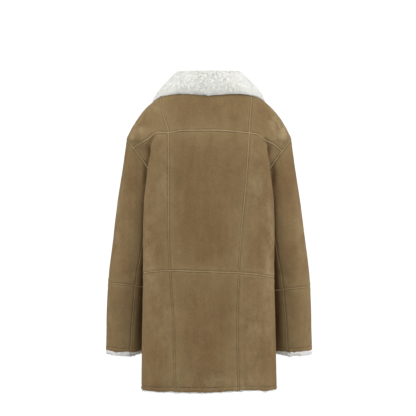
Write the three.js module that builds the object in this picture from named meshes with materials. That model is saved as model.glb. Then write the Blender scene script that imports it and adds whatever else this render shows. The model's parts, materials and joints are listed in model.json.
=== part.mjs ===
// A thigh-length shearling coat, hollow and filled out as it is when worn: suede outside, wool inside.
// Millimetres, +Z up. The back faces +Y and the front -Y, so +X is the wearer's left.
// The origin lies midway between the shoulders, level with their visible tops.
import * as THREE from "three";
import * as BufferGeometryUtils from "three/addons/utils/BufferGeometryUtils.js";

// Thickness of the hide with its wool, and of the collar, whose wool is left longer.
const BODY_WALL = 8;
const COLLAR_WALL = 12;
// Space between sewn pieces, and between each armhole rim and its sleeve.
const SEAM_GAP = 0.3;
const ARMHOLE_GAP = 0.7;
// Main heights of the coat, measured down from the shoulder tops.
const NECK_Z = 27;
const HEM_Z = -820;
const SHOULDER_TIP = { x: 231.5, y: -5, z: -118 };
const UNDERARM = { x: 145, y: -12, z: -262 };
// How far the armhole swings to the back and to the front, and how fast its line leans outwards.
const ARMHOLE_BACK = 46;
const ARMHOLE_FRONT = 60;
const ARMHOLE_LEAN = 1.5;
// The fronts lap past the middle by this much, one above the other.
const FRONT_LAP = 36;
const LAP_FADE = 88;
const LAP_STEP = 5.6;
// Roundness of the level sections: 2 is an ellipse and more is boxier.
const BACK_ROUND = 2.15;
const FOLDED_ROUND = 2.5;
const FRONT_ROUND = 2.2;

const SUEDE = { color: 0x87704c, roughness: 0.95, metalness: 0 };
const WOOL = { color: 0xe6e5df, roughness: 1, metalness: 0 };
const HORN = { color: 0x3a2a1c, roughness: 0.35, metalness: 0 };

// Level sections of the body. width and edgeY place the side seam, or the top of the shoulder above
// the armhole. back and front are the depths at the middle, drop is how much lower the section hangs
// at the middle of the front, and foldX and foldY place the soft fold beside the back armhole.
const BODY_LEVELS = [
  { z: HEM_Z, width: 171, edgeY: -16, back: 132, front: 143, drop: 0, foldX: 189.5, foldY: 46 },
  { z: -650, width: 167, edgeY: -16, back: 130, front: 141, drop: 0, foldX: 186.5, foldY: 46 },
  { z: -490, width: 159, edgeY: -16, back: 127, front: 138, drop: 0, foldX: 184, foldY: 48 },
  { z: -380, width: 149, edgeY: -15, back: 125, front: 137, drop: 0, foldX: 184, foldY: 54 },
  { z: -300, width: 145, edgeY: -14, back: 124, front: 137, drop: 4, foldX: 182, foldY: 62 },
  { z: UNDERARM.z, width: UNDERARM.x, edgeY: UNDERARM.y, back: 123, front: 136, drop: 10, foldX: 179, foldY: 70 },
  { z: -200, width: 173, edgeY: -9, back: 122, front: 133, drop: 24, foldX: 170, foldY: 83 },
  { z: -160, width: 199, edgeY: -7, back: 120, front: 129, drop: 35, foldX: 163, foldY: 90 },
  { z: SHOULDER_TIP.z, width: SHOULDER_TIP.x, edgeY: SHOULDER_TIP.y, back: 117, front: 124, drop: 45, foldX: 152, foldY: 96 },
  { z: -95, width: 223, edgeY: -5, back: 113, front: 119, drop: 51, foldX: 147, foldY: 94 },
  { z: -65, width: 206, edgeY: -5, back: 107, front: 112, drop: 59, foldX: 136, foldY: 90 },
  { z: -38, width: 186, edgeY: -5, back: 100, front: 104, drop: 68, foldX: 122, foldY: 84 },
  { z: -18, width: 166, edgeY: -5, back: 94, front: 98, drop: 74, foldX: 108, foldY: 78 },
  { z: 0, width: 141, edgeY: -5, back: 87, front: 92, drop: 80, foldX: 92, foldY: 70 },
  { z: 14, width: 113, edgeY: -5, back: 76, front: 86, drop: 84, foldX: 74, foldY: 60 },
  { z: NECK_Z, width: 78, edgeY: -5, back: 62, front: 78, drop: 89, foldX: 51, foldY: 48 },
];

// Rings of a sleeve, from the armhole to the cuff. outer and inner are the ring's ends in a front
// view, back and front its depths, and lean how the ring bends towards the shoulder tip.
const SLEEVE_RINGS = [
  { outerX: 231.5, outerZ: -118, innerX: 145, innerZ: -262, outerY: -5, innerY: -12, back: 46, front: 60, lean: 1.5 },
  { outerX: 242, outerZ: -190, innerX: 152, innerZ: -300, outerY: -10, innerY: -17, back: 48, front: 62, lean: 1.25 },
  { outerX: 259, outerZ: -300, innerX: 155.5, innerZ: -370, outerY: -16, innerY: -21, back: 50, front: 62, lean: 1.05 },
  { outerX: 271, outerZ: -400, innerX: 159, innerZ: -440, outerY: -20, innerY: -24, back: 52, front: 60, lean: 1 },
  { outerX: 284.5, outerZ: -518, innerX: 168, innerZ: -532, outerY: -27, innerY: -31, back: 54, front: 58, lean: 1 },
  { outerX: 289.5, outerZ: -620, innerX: 175, innerZ: -628, outerY: -42, innerY: -46, back: 54, front: 56, lean: 1 },
  { outerX: 291.5, outerZ: -716, innerX: 180, innerZ: -714, outerY: -54, innerY: -58, back: 54, front: 55, lean: 1 },
];
const ELBOW_RING = 4;
// The right sleeve's elbow seam lies lower, by this share of a ring.
const ELBOW_DROP = 0.1;
const CUFF_RING = SLEEVE_RINGS.length - 1;
// Each cuff's edge hangs lower at its back and front than at its sides.
const CUFF_BOW = 8;

// Lengthwise sleeve seams, in degrees round the ring from the outer side towards the back.
const SLEEVE_SEAMS = [
  { ring: 0, hind: 162, fore: -158 },
  { ring: 1, hind: 140, fore: -140 },
  { ring: 2, hind: 124, fore: -128 },
  { ring: 3, hind: 117, fore: -122 },
  { ring: ELBOW_RING, hind: 111, fore: -118 },
  { ring: 5, hind: 108, fore: -116 },
  { ring: CUFF_RING, hind: 106, fore: -115 },
];

// The two long back seams: distance from the middle at each height, on the wearer's left and right.
const BACK_SEAMS = [
  { z: HEM_Z, left: 94, right: 82 },
  { z: -641, left: 98, right: 79 },
  { z: -484, left: 108, right: 83 },
  { z: -384, left: 112.5, right: 89 },
  { z: -248, left: 112.5, right: 102 },
  { z: -96, left: 113.5, right: 112.5 },
  { z: -51, left: 127, right: 115 },
  { z: 0, left: 137, right: 120 },
  { z: NECK_Z, left: 140, right: 122 },
];

// Height of the yoke seam across the back. across runs from the middle, 0, to the fold, 1, and the
// armhole, 2, and is negative on the wearer's right.
const YOKE_SEAM = [
  { across: -2, z: -149 },
  { across: -1.43, z: -132.7 },
  { across: -1.11, z: -122 },
  { across: -1.01, z: -114 },
  { across: -0.82, z: -107 },
  { across: -0.74, z: -102.5 },
  { across: -0.54, z: -98.5 },
  { across: 0, z: -91 },
  { across: 0.35, z: -92 },
  { across: 0.57, z: -98.6 },
  { across: 0.83, z: -96.6 },
  { across: 1.02, z: -98.6 },
  { across: 1.08, z: -105 },
  { across: 1.18, z: -116.5 },
  { across: 1.4, z: -126 },
  { across: 2, z: -139 },
];

// Height of the low waist seam, on the same scale, where 2 is the side seam.
const WAIST_SEAM = [
  { across: -2, z: -507 },
  { across: -1, z: -504 },
  { across: -0.3, z: -489 },
  { across: 0, z: -486 },
  { across: 0.4, z: -483 },
  { across: 1, z: -491 },
  { across: 2, z: -494 },
];
// The same seam's height at the front edges.
const FRONT_WAIST_Z = -500;

// The collar: distance round the neck in degrees from the middle of the back, the height on the body
// where the leaf's edge lies, and how far the leaf bows out.
const COLLAR_STATIONS = [
  { turn: 0, edgeLevel: 6, bow: 3 },
  { turn: 35, edgeLevel: 11, bow: 3 },
  { turn: 62, edgeLevel: 8, bow: 2 },
  { turn: 90, edgeLevel: -4, bow: 2 },
  { turn: 120, edgeLevel: -27, bow: 4 },
  { turn: 145, edgeLevel: -58, bow: 7 },
  { turn: 172, edgeLevel: -92, bow: 9 },
];
const COLLAR_END = 172;
const COLLAR_POINT = 160;
const COLLAR_ROLL = { halfWidth: 80, back: 68, front: 84, y: -5, topZ: 62, frontDrop: 96, radius: 3 };
const LEAF_LIFT = 2;
const NECK_GAP = 1.5;

const BUTTON = { radius: 14, thickness: 4.6, rim: 1.2, gap: 0.35 };
const BUTTON_LEVELS = [-17, -172, -315, -431, -544];

const degrees = THREE.MathUtils.degToRad;
const mix = THREE.MathUtils.lerp;
const between = THREE.MathUtils.smoothstep;

// Smooth curve through one column of a table, with no overshoot between its rows.
function column(rows, along, key, at) {
  const n = rows.length;
  const t = Math.min(Math.max(at, rows[0][along]), rows[n - 1][along]);
  let k = 0;
  while (k < n - 2 && t > rows[k + 1][along]) k++;
  const slope = (i) => (rows[i + 1][key] - rows[i][key]) / (rows[i + 1][along] - rows[i][along]);
  const tangent = (i) => {
    if (i === 0) return slope(0);
    if (i === n - 1) return slope(n - 2);
    const [a, b] = [slope(i - 1), slope(i)];
    return a * b <= 0 ? 0 : (2 * a * b) / (a + b);
  };
  const step = rows[k + 1][along] - rows[k][along];
  const s = (t - rows[k][along]) / step;
  const [s2, s3] = [s * s, s * s * s];
  return (
    (2 * s3 - 3 * s2 + 1) * rows[k][key] +
    (s3 - 2 * s2 + s) * step * tangent(k) +
    (3 * s2 - 2 * s3) * rows[k + 1][key] +
    (s3 - s2) * step * tangent(k + 1)
  );
}

const level = (key, z) => column(BODY_LEVELS, "z", key, z);

// Depth of a rounded quarter section, from 1 at the middle to 0 at the edge.
const quarter = (share, round) => Math.pow(Math.max(0, 1 - Math.pow(Math.abs(share), round)), 1 / round);

// The side end of a level section: the side seam, the armhole or the top of the shoulder.
function sectionEdge(z, facing) {
  if (z <= UNDERARM.z || z >= SHOULDER_TIP.z) return { x: level("width", z), y: level("edgeY", z) };
  const rise = (z - UNDERARM.z) / (SHOULDER_TIP.z - UNDERARM.z);
  const swing = facing > 0 ? ARMHOLE_BACK : -ARMHOLE_FRONT;
  return {
    x: mix(UNDERARM.x, SHOULDER_TIP.x, Math.pow(rise, ARMHOLE_LEAN)),
    y: mix(UNDERARM.y, SHOULDER_TIP.y, rise) + swing * 2 * Math.sqrt(rise * (1 - rise)),
  };
}

// How much of the fold beside the back armhole there is at a height, from 0 to 1.
const foldShare = (z) => 1 - between(z, -172, -100);
// The direction in which a folded section reaches its edge, in degrees from straight outwards.
const foldEndTurn = (z) => mix(-78, -8, between(z, UNDERARM.z, -185));

// A point of the back. across runs from 0 at the middle to 1 at the fold and 2 at the edge.
function backPoint(across, z) {
  const side = Math.sign(across) || 1;
  const a = Math.min(Math.abs(across), 2);
  const edge = sectionEdge(z, 1);
  const back = level("back", z);
  const fold = { x: level("foldX", z), y: level("foldY", z) };
  const share = foldShare(z);
  const smooth = new THREE.Vector2();
  const folded = new THREE.Vector2();
  if (a <= 1) {
    const x = fold.x * Math.sin((a * Math.PI) / 2);
    folded.set(x, mix(fold.y, back, quarter(x / fold.x, FOLDED_ROUND)));
    smooth.set(x, mix(edge.y, back, quarter(Math.min(x / edge.x, 1), BACK_ROUND)));
  } else {
    const start = Math.asin(Math.min(fold.x / edge.x, 1));
    const x = edge.x * Math.sin(mix(start, Math.PI / 2, a - 1));
    smooth.set(x, mix(edge.y, back, quarter(x / edge.x, BACK_ROUND)));
    const reach = Math.max(fold.y - edge.y, 0);
    const turn = degrees(foldEndTurn(z));
    const hold = mix(0.62 * reach, 0.4 * Math.hypot(edge.x - fold.x, reach), between(z, UNDERARM.z, -185));
    folded.copy(
      new THREE.CubicBezierCurve(
        new THREE.Vector2(fold.x, fold.y),
        new THREE.Vector2(fold.x, fold.y - 0.45 * reach),
        new THREE.Vector2(edge.x - hold * Math.cos(turn), edge.y - hold * Math.sin(turn)),
        new THREE.Vector2(edge.x, edge.y),
      ).getPoint(a - 1),
    );
  }
  return new THREE.Vector3(side * mix(smooth.x, folded.x, share), mix(smooth.y, folded.y, share), z);
}

// A point of one front. across runs from -1 at the lap's edge to 0 at the middle and 1 at the side.
// layer is 1 for the front that lies on top and -1 for the one beneath.
function frontPoint(across, z, layer) {
  const edge = sectionEdge(z, -1);
  const share = across < 0 ? (FRONT_LAP * across) / edge.x : Math.sin((Math.min(across, 1) * Math.PI) / 2);
  const x = edge.x * share;
  const step = layer * LAP_STEP * mix(1, 1.5, between(z, -230, 0)) * (1 - between(x, FRONT_LAP, Math.min(LAP_FADE, 0.85 * edge.x)));
  const y = mix(edge.y, -level("front", z), quarter(share, FRONT_ROUND)) - step;
  return new THREE.Vector3(-layer * x, y, z - level("drop", z) * (1 - share * share));
}

// A point of a sleeve: ring counts from the armhole to the cuff, and turn is in degrees.
function sleevePoint(turn, ring, side) {
  const at = (key) => column(NUMBERED_RINGS, "ring", key, ring);
  const [c, s] = [Math.cos(degrees(turn)), Math.sin(degrees(turn))];
  const rise = (1 + c) / 2;
  const cuff = between(ring, 5, CUFF_RING);
  return new THREE.Vector3(
    side * mix(at("innerX"), at("outerX"), Math.pow(rise, at("lean"))),
    mix(at("innerY"), at("outerY"), rise) + s * at(s > 0 ? "back" : "front"),
    mix(at("innerZ"), at("outerZ"), rise) - cuff * CUFF_BOW * s * s,
  );
}
const NUMBERED_RINGS = SLEEVE_RINGS.map((row, ring) => ({ ring, ...row }));
const sleeveSeam = (key, ring) => column(SLEEVE_SEAMS, "ring", key, ring);

// The armhole's plane, for its rims: its centre, and the direction from the body into the sleeve.
const armholeUp = new THREE.Vector3(SHOULDER_TIP.x - UNDERARM.x, 0, SHOULDER_TIP.z - UNDERARM.z).normalize();
const intoSleeve = (side) => new THREE.Vector3(side * armholeUp.z, 0, -armholeUp.x);
const armholeCentre = (side) =>
  new THREE.Vector3(
    (side * (SHOULDER_TIP.x + UNDERARM.x)) / 2,
    (SHOULDER_TIP.y + UNDERARM.y + ARMHOLE_BACK - ARMHOLE_FRONT) / 2,
    (SHOULDER_TIP.z + UNDERARM.z) / 2,
  );

// Direction out of a surface at a domain point, away from a point known to be inside.
function outwardAt(surface, [a, b], inside, steps) {
  const alongA = surface(a + steps[0], b).sub(surface(a - steps[0], b));
  const alongB = surface(a, b + steps[1]).sub(surface(a, b - steps[1]));
  const normal = alongA.cross(alongB).normalize();
  return normal.dot(surface(a, b).sub(inside)) < 0 ? normal.negate() : normal;
}

// Direction into the wall at an armhole rim: its own, unless that would cross into the neighbour,
// where it turns towards the armhole's centre. over points from this piece to its neighbour.
function rimInward(point, own, side, over) {
  const across = armholeCentre(side).sub(point);
  across.addScaledVector(over, -across.dot(over)).normalize();
  const keep = Math.min(Math.max(-own.dot(over) / 0.35, 0), 1);
  return across.lerp(own, keep).normalize();
}

// Domain points spaced evenly along a line on a surface; line(t) gives the domain point at t, 0 to 1.
function evenly(surface, line, count) {
  const fine = 200;
  const points = Array.from({ length: fine + 1 }, (_, i) => line(i / fine));
  const placed = points.map(([a, b]) => surface(a, b));
  const run = [0];
  for (let i = 1; i <= fine; i++) run.push(run[i - 1] + placed[i].distanceTo(placed[i - 1]));
  return Array.from({ length: count + 1 }, (_, k) => {
    if (k === 0) return points[0];
    if (k === count) return points[fine];
    const target = (run[fine] * k) / count;
    let i = 1;
    while (run[i] < target) i++;
    const s = (target - run[i - 1]) / (run[i] - run[i - 1]);
    return [mix(points[i - 1][0], points[i][0], s), mix(points[i - 1][1], points[i][1], s)];
  });
}

// Joins lines end to end, dropping the doubled points.
const chain = (...lines) => lines.flatMap((line, i) => (i ? line.slice(1) : line));

// Fills a four-sided region of a domain from its four edges, each a list of domain points.
function fill({ bottom, top, left, right }) {
  const [nu, nv] = [bottom.length - 1, left.length - 1];
  return left.map((_, j) =>
    bottom.map((low, i) => {
      const [u, v] = [i / nu, j / nv];
      return [0, 1].map(
        (k) =>
          mix(low[k], top[i][k], v) +
          mix(left[j][k], right[j][k], u) -
          mix(mix(bottom[0][k], bottom[nu][k], u), mix(top[0][k], top[nu][k], u), v),
      );
    }),
  );
}

// One cut piece as a closed wall on a surface. grid holds its domain points in rows from bottom to
// top, inward gives the direction through the wall, sewn names the edges drawn in by half a seam
// gap (l, r, b or t), and onArmhole tells which points follow the armhole instead.
function wallPiece({ surface, grid, inward, thickness, sewn, onArmhole = () => false, armholeShift = null }) {
  const [nv, nu] = [grid.length - 1, grid[0].length - 1];
  const face = grid.map((row) => row.map(([a, b]) => surface(a, b)));
  const shift = face.map((row) => row.map(() => new THREE.Vector3()));
  const drawIn = (j, i, dj, di) => {
    const along = dj
      ? face[j][Math.min(i + 1, nu)].clone().sub(face[j][Math.max(i - 1, 0)])
      : face[Math.min(j + 1, nv)][i].clone().sub(face[Math.max(j - 1, 0)][i]);
    along.normalize();
    const away = face[j + dj][i + di].clone().sub(face[j][i]);
    away.addScaledVector(along, -away.dot(along)).normalize();
    shift[j][i].addScaledVector(away, SEAM_GAP / 2);
  };
  for (let j = 0; j <= nv; j++) {
    if (sewn.includes("l") && onArmhole(grid[j][0]) < 2) drawIn(j, 0, 0, 1);
    if (sewn.includes("r") && onArmhole(grid[j][nu]) < 2) drawIn(j, nu, 0, -1);
  }
  for (let i = 0; i <= nu; i++) {
    const end = i === 0 || i === nu;
    if (sewn.includes("b") && (end || onArmhole(grid[0][i]) < 2)) drawIn(0, i, 1, 0);
    if (sewn.includes("t") && (end || onArmhole(grid[nv][i]) < 2)) drawIn(nv, i, -1, 0);
  }
  const positions = [[], []];
  grid.forEach((row, j) =>
    row.forEach((d, i) => {
      const rim = onArmhole(d) > 0;
      const at = face[j][i].clone().add(shift[j][i]);
      if (rim) at.add(armholeShift);
      positions[0].push(...at.toArray());
      const depth = typeof thickness === "function" ? thickness(d) : thickness;
      positions[1].push(...at.addScaledVector(inward(d, face[j][i], rim), depth).toArray());
    }),
  );
  const count = (nu + 1) * (nv + 1);
  const id = (j, i) => j * (nu + 1) + i;
  const faces = [];
  const quad = (a, b, c, d) => faces.push(a, b, c, a, c, d);
  for (let j = 0; j < nv; j++) {
    for (let i = 0; i < nu; i++) {
      quad(id(j, i), id(j, i + 1), id(j + 1, i + 1), id(j + 1, i));
      quad(count + id(j, i), count + id(j + 1, i), count + id(j + 1, i + 1), count + id(j, i + 1));
    }
  }
  for (let i = 0; i < nu; i++) {
    quad(id(0, i), count + id(0, i), count + id(0, i + 1), id(0, i + 1));
    quad(id(nv, i), id(nv, i + 1), count + id(nv, i + 1), count + id(nv, i));
  }
  for (let j = 0; j < nv; j++) {
    quad(id(j, 0), id(j + 1, 0), count + id(j + 1, 0), count + id(j, 0));
    quad(id(j, nu), count + id(j, nu), count + id(j + 1, nu), id(j + 1, nu));
  }
  return closedGeometry(positions.flat(), faces);
}

// Indexed geometry whose faces point out, whichever way its grid ran.
function closedGeometry(positions, faces) {
  const p = (i) => new THREE.Vector3().fromArray(positions, 3 * i);
  let volume = 0;
  for (let f = 0; f < faces.length; f += 3) {
    volume += p(faces[f]).dot(p(faces[f + 1]).cross(p(faces[f + 2])));
  }
  if (volume < 0) faces.reverse();
  const geometry = new THREE.BufferGeometry();
  geometry.setAttribute("position", new THREE.Float32BufferAttribute(positions, 3));
  geometry.setIndex(faces);
  geometry.computeVertexNormals();
  return geometry;
}

const coat = new THREE.Group();
function addPiece(name, geometry, look) {
  const mesh = new THREE.Mesh(geometry, new THREE.MeshStandardMaterial(look));
  mesh.name = name;
  coat.add(mesh);
}

// How far a domain point is from the side. The back has a side at each end, and a front at one end
// only, since its other end is the lap.
const offSide = (across, edgeAcross) => Math.abs((edgeAcross > 1 ? Math.abs(across) : across) - edgeAcross);

// Directions into the body's wall. Along the side and shoulder seams the back and the front agree.
function bodyInward(surface, edgeAcross) {
  return (d, point, rim) => {
    const [across, z] = d;
    const side = Math.sign(point.x);
    const inside = new THREE.Vector3(0, 0, z - 60);
    const onEdge = offSide(across, edgeAcross) < 1e-6;
    let out;
    if (onEdge && (z < UNDERARM.z + 1e-6 || z > SHOULDER_TIP.z - 1e-6)) {
      const low = z < UNDERARM.z + 1e-6 ? z - 2 : Math.min(z, NECK_Z - 2);
      const [a, b] = [sectionEdge(low, 1), sectionEdge(low + 2, 1)];
      out = new THREE.Vector3(2, 0, a.x - b.x).normalize();
      out.x *= side;
    } else {
      out = outwardAt(surface, d, inside, [2e-4, 0.01]);
    }
    const own = out.negate();
    return rim ? rimInward(point, own, side, intoSleeve(side)) : own;
  };
}

// 0 off the armhole, 1 at its two ends on the side and shoulder seams, 2 along it.
const armholeTest = (edgeAcross) => ([across, z]) => {
  if (offSide(across, edgeAcross) > 1e-6) return 0;
  if (z < UNDERARM.z - 1e-6 || z > SHOULDER_TIP.z + 1e-6) return 0;
  return z < UNDERARM.z + 1e-6 || z > SHOULDER_TIP.z - 1e-6 ? 1 : 2;
};

function bodyPiece(name, surface, edgeAcross, side, edges, sewn) {
  const geometry = wallPiece({
    surface,
    grid: fill(edges),
    inward: bodyInward(surface, edgeAcross),
    thickness: BODY_WALL,
    sewn,
    onArmhole: armholeTest(edgeAcross),
    armholeShift: intoSleeve(side).multiplyScalar(-ARMHOLE_GAP / 2),
  });
  addPiece(name, geometry, SUEDE);
}

// Finds t from low to high where a rising function passes a value.
function solve(f, value, low, high) {
  for (let n = 0; n < 45; n++) {
    const middle = (low + high) / 2;
    if (f(middle) < value) low = middle;
    else high = middle;
  }
  return (low + high) / 2;
}

// The back's across value at a distance from the middle, and a long seam's domain point at a height.
const acrossAt = (x, z) => Math.sign(x) * solve((a) => backPoint(a, z).x, Math.abs(x), 0, 2);
const seamX = (side, z) => side * column(BACK_SEAMS, "z", side > 0 ? "left" : "right", z);
// Where a long seam reaches the top of the shoulder.
const seamTop = (side) => solve((z) => side * seamX(side, z) - level("width", z), 0, -60, NECK_Z);
const longSeam = (side, z) => {
  const top = seamTop(side);
  return z > top - 1e-6 ? [2 * side, top] : [acrossAt(seamX(side, z), z), z];
};
const yokeZ = (across) => column(YOKE_SEAM, "across", "z", across);
const waistZ = (across) => column(WAIST_SEAM, "across", "z", across);

// Where a long seam crosses a seam that runs round the body.
function crossing(side, height) {
  let z = height(side);
  for (let n = 0; n < 30; n++) z = height(acrossAt(seamX(side, z), z));
  return z;
}

// A long seam between two heights, and an edge line at constant across, as evenly spaced points.
const longLine = (side, z0, z1, n) => evenly(backPoint, (t) => longSeam(side, mix(z0, z1, t)), n);
const edgeLine = (surface, across, z0, z1, n) => evenly(surface, (t) => [across, mix(z0, z1, t)], n);
const roundLine = (a0, a1, height, n) =>
  evenly(backPoint, (t) => [mix(a0, a1, t), height(mix(a0, a1, t))], n);

// Back pieces. Columns and rows of each band are shared, so that neighbouring edges match.
const [NECK_COLUMNS, SHOULDER_COLUMNS, SIDE_COLUMNS] = [6, 3, 9];
const MIDDLE_COLUMNS = NECK_COLUMNS + 2 * SHOULDER_COLUMNS;
const [SKIRT_ROWS, SIDE_ROWS, ARM_ROWS, YOKE_ROWS] = [7, 5, 7, 5];
const hem = () => HEM_Z;
const seamAcross = (side, z) => longSeam(side, z)[0];
const heights = {};
for (const side of [-1, 1]) {
  heights[side] = { waist: crossing(side, waistZ), yoke: crossing(side, yokeZ), top: seamTop(side) };
}

// A middle piece of the back between two heights that run round the body.
function backMiddle(name, low, high, lowAt, highAt, rows, sewn) {
  bodyPiece(name, backPoint, 2, 1, {
    bottom: roundLine(seamAcross(-1, lowAt[-1]), seamAcross(1, lowAt[1]), low, MIDDLE_COLUMNS),
    top: roundLine(seamAcross(-1, highAt[-1]), seamAcross(1, highAt[1]), high, MIDDLE_COLUMNS),
    left: longLine(-1, lowAt[-1], highAt[-1], rows),
    right: longLine(1, lowAt[1], highAt[1], rows),
  }, sewn);
}
const bySide = (key) => ({ 1: heights[1][key], [-1]: heights[-1][key] });
const hemAt = { 1: HEM_Z, [-1]: HEM_Z };
backMiddle("back_skirt_center", hem, waistZ, hemAt, bySide("waist"), SKIRT_ROWS, "lrt");
backMiddle("back_center", waistZ, yokeZ, bySide("waist"), bySide("yoke"), SIDE_ROWS + ARM_ROWS, "lrbt");

// The middle of the yoke: its top edge runs along a shoulder, round the neck and along the other.
bodyPiece("back_yoke_center", backPoint, 2, 1, {
  bottom: roundLine(
    seamAcross(-1, heights[-1].yoke),
    seamAcross(1, heights[1].yoke),
    yokeZ,
    MIDDLE_COLUMNS,
  ),
  top: chain(
    edgeLine(backPoint, -2, heights[-1].top, NECK_Z, SHOULDER_COLUMNS),
    evenly(backPoint, (t) => [mix(-2, 2, t), NECK_Z], NECK_COLUMNS),
    edgeLine(backPoint, 2, NECK_Z, heights[1].top, SHOULDER_COLUMNS),
  ),
  left: longLine(-1, heights[-1].yoke, heights[-1].top, YOKE_ROWS),
  right: longLine(1, heights[1].yoke, heights[1].top, YOKE_ROWS),
}, "lrbt");

// Side pieces of the back: skirt, body and yoke.
for (const side of [1, -1]) {
  const word = side > 0 ? "left" : "right";
  const { waist, yoke, top } = heights[side];
  const edge = 2 * side;
  bodyPiece(`back_skirt_${word}`, backPoint, 2, side, {
    bottom: roundLine(seamAcross(side, HEM_Z), edge, hem, SIDE_COLUMNS),
    top: roundLine(seamAcross(side, waist), edge, waistZ, SIDE_COLUMNS),
    left: longLine(side, HEM_Z, waist, SKIRT_ROWS),
    right: edgeLine(backPoint, edge, HEM_Z, waistZ(edge), SKIRT_ROWS),
  }, "lrt");
  bodyPiece(`back_side_${word}`, backPoint, 2, side, {
    bottom: roundLine(seamAcross(side, waist), edge, waistZ, SIDE_COLUMNS),
    top: roundLine(seamAcross(side, yoke), edge, yokeZ, SIDE_COLUMNS),
    left: longLine(side, waist, yoke, SIDE_ROWS + ARM_ROWS),
    right: chain(
      edgeLine(backPoint, edge, waistZ(edge), UNDERARM.z, SIDE_ROWS),
      edgeLine(backPoint, edge, UNDERARM.z, yokeZ(edge), ARM_ROWS),
    ),
  }, "lrbt");
  bodyPiece(`back_yoke_${word}`, backPoint, 2, side, {
    bottom: roundLine(seamAcross(side, yoke), edge, yokeZ, SIDE_COLUMNS),
    top: edgeLine(backPoint, edge, top, SHOULDER_TIP.z, SIDE_COLUMNS),
    left: longLine(side, yoke, top, YOKE_ROWS),
    right: edgeLine(backPoint, edge, yokeZ(edge), SHOULDER_TIP.z, YOKE_ROWS),
  }, "lrbt");
}

// Front pieces. The wearer's right front lies over the left one.
const FRONT_NECK_COLUMNS = 8;
for (const side of [1, -1]) {
  const word = side > 0 ? "left" : "right";
  const surface = (across, z) => frontPoint(across, z, -side);
  const sideZ = waistZ(2 * side);
  const columns = FRONT_NECK_COLUMNS + SHOULDER_COLUMNS + SIDE_COLUMNS;
  const waistLine = evenly(
    surface,
    (t) => [mix(-1, 1, t), mix(FRONT_WAIST_Z, sideZ, between(t, 0.5, 1))],
    columns,
  );
  bodyPiece(`front_skirt_${word}`, surface, 1, side, {
    bottom: evenly(surface, (t) => [mix(-1, 1, t), HEM_Z], columns),
    top: waistLine,
    left: edgeLine(surface, -1, HEM_Z, FRONT_WAIST_Z, SKIRT_ROWS),
    right: edgeLine(surface, 1, HEM_Z, sideZ, SKIRT_ROWS),
  }, "rt");
  bodyPiece(`front_${word}`, surface, 1, side, {
    bottom: waistLine,
    top: chain(
      evenly(surface, (t) => [mix(-1, 1, t), NECK_Z], FRONT_NECK_COLUMNS),
      edgeLine(surface, 1, NECK_Z, heights[side].top, SHOULDER_COLUMNS),
      edgeLine(surface, 1, heights[side].top, SHOULDER_TIP.z, SIDE_COLUMNS),
    ),
    left: edgeLine(surface, -1, FRONT_WAIST_Z, NECK_Z, SIDE_ROWS + ARM_ROWS + 2),
    right: chain(
      edgeLine(surface, 1, sideZ, UNDERARM.z, SIDE_ROWS),
      edgeLine(surface, 1, UNDERARM.z, SHOULDER_TIP.z, ARM_ROWS + 2),
    ),
  }, "rbt");
}

// Sleeve pieces: an outer and an under one, above and below the elbow seam.
for (const side of [1, -1]) {
  const word = side > 0 ? "left" : "right";
  const drop = side > 0 ? 0 : ELBOW_DROP;
  const surface = (turn, ring) => sleevePoint(turn, ring, side);
  const axis = (ring) => sleevePoint(0, ring, side).add(sleevePoint(180, ring, side)).multiplyScalar(0.5);
  const inward = (d, point, rim) => {
    const own = outwardAt(surface, d, axis(d[1]), [0.02, 5e-4]).negate();
    return rim ? rimInward(point, own, side, intoSleeve(side).negate()) : own;
  };
  const parts = [
    { half: "upper", from: 0, to: ELBOW_RING + drop, rows: 8, sewn: "lrt" },
    { half: "lower", from: ELBOW_RING + drop, to: CUFF_RING, rows: 4, sewn: "lrb" },
  ];
  const cuts = [
    { name: "outer", start: (ring) => sleeveSeam("fore", ring), end: (ring) => sleeveSeam("hind", ring), columns: 16 },
    { name: "under", start: (ring) => sleeveSeam("hind", ring), end: (ring) => sleeveSeam("fore", ring) + 360, columns: 7 },
  ];
  for (const { half, from, to, rows, sewn } of parts) {
    for (const { name, start, end, columns } of cuts) {
      const round = (ring) => evenly(surface, (t) => [mix(start(ring), end(ring), t), ring], columns);
      const down = (edge) =>
        Array.from({ length: rows + 1 }, (_, k) => {
          const ring = from + ((to - from) * k) / rows;
          return [edge(ring), ring];
        });
      const geometry = wallPiece({
        surface,
        grid: fill({ bottom: round(from), top: round(to), left: down(start), right: down(end) }),
        inward,
        thickness: BODY_WALL,
        sewn,
        onArmhole: ([, ring]) => (ring < 1e-6 ? 1 : 0),
        armholeShift: intoSleeve(side).multiplyScalar(ARMHOLE_GAP / 2),
      });
      addPiece(`sleeve_${word}_${half}_${name}`, geometry, SUEDE);
    }
  }
}

// The neck edge of the body under the collar. turn is in degrees from the middle of the back.
function neckEdge(turn) {
  const a = Math.abs(turn);
  const side = Math.sign(turn) || 1;
  if (a <= 90) {
    const x = level("width", NECK_Z) * Math.sin(degrees(a));
    return backPoint(acrossAt(side * x, NECK_Z), NECK_Z);
  }
  return frontPoint((180 - a) / 90, NECK_Z, -side);
}

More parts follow.
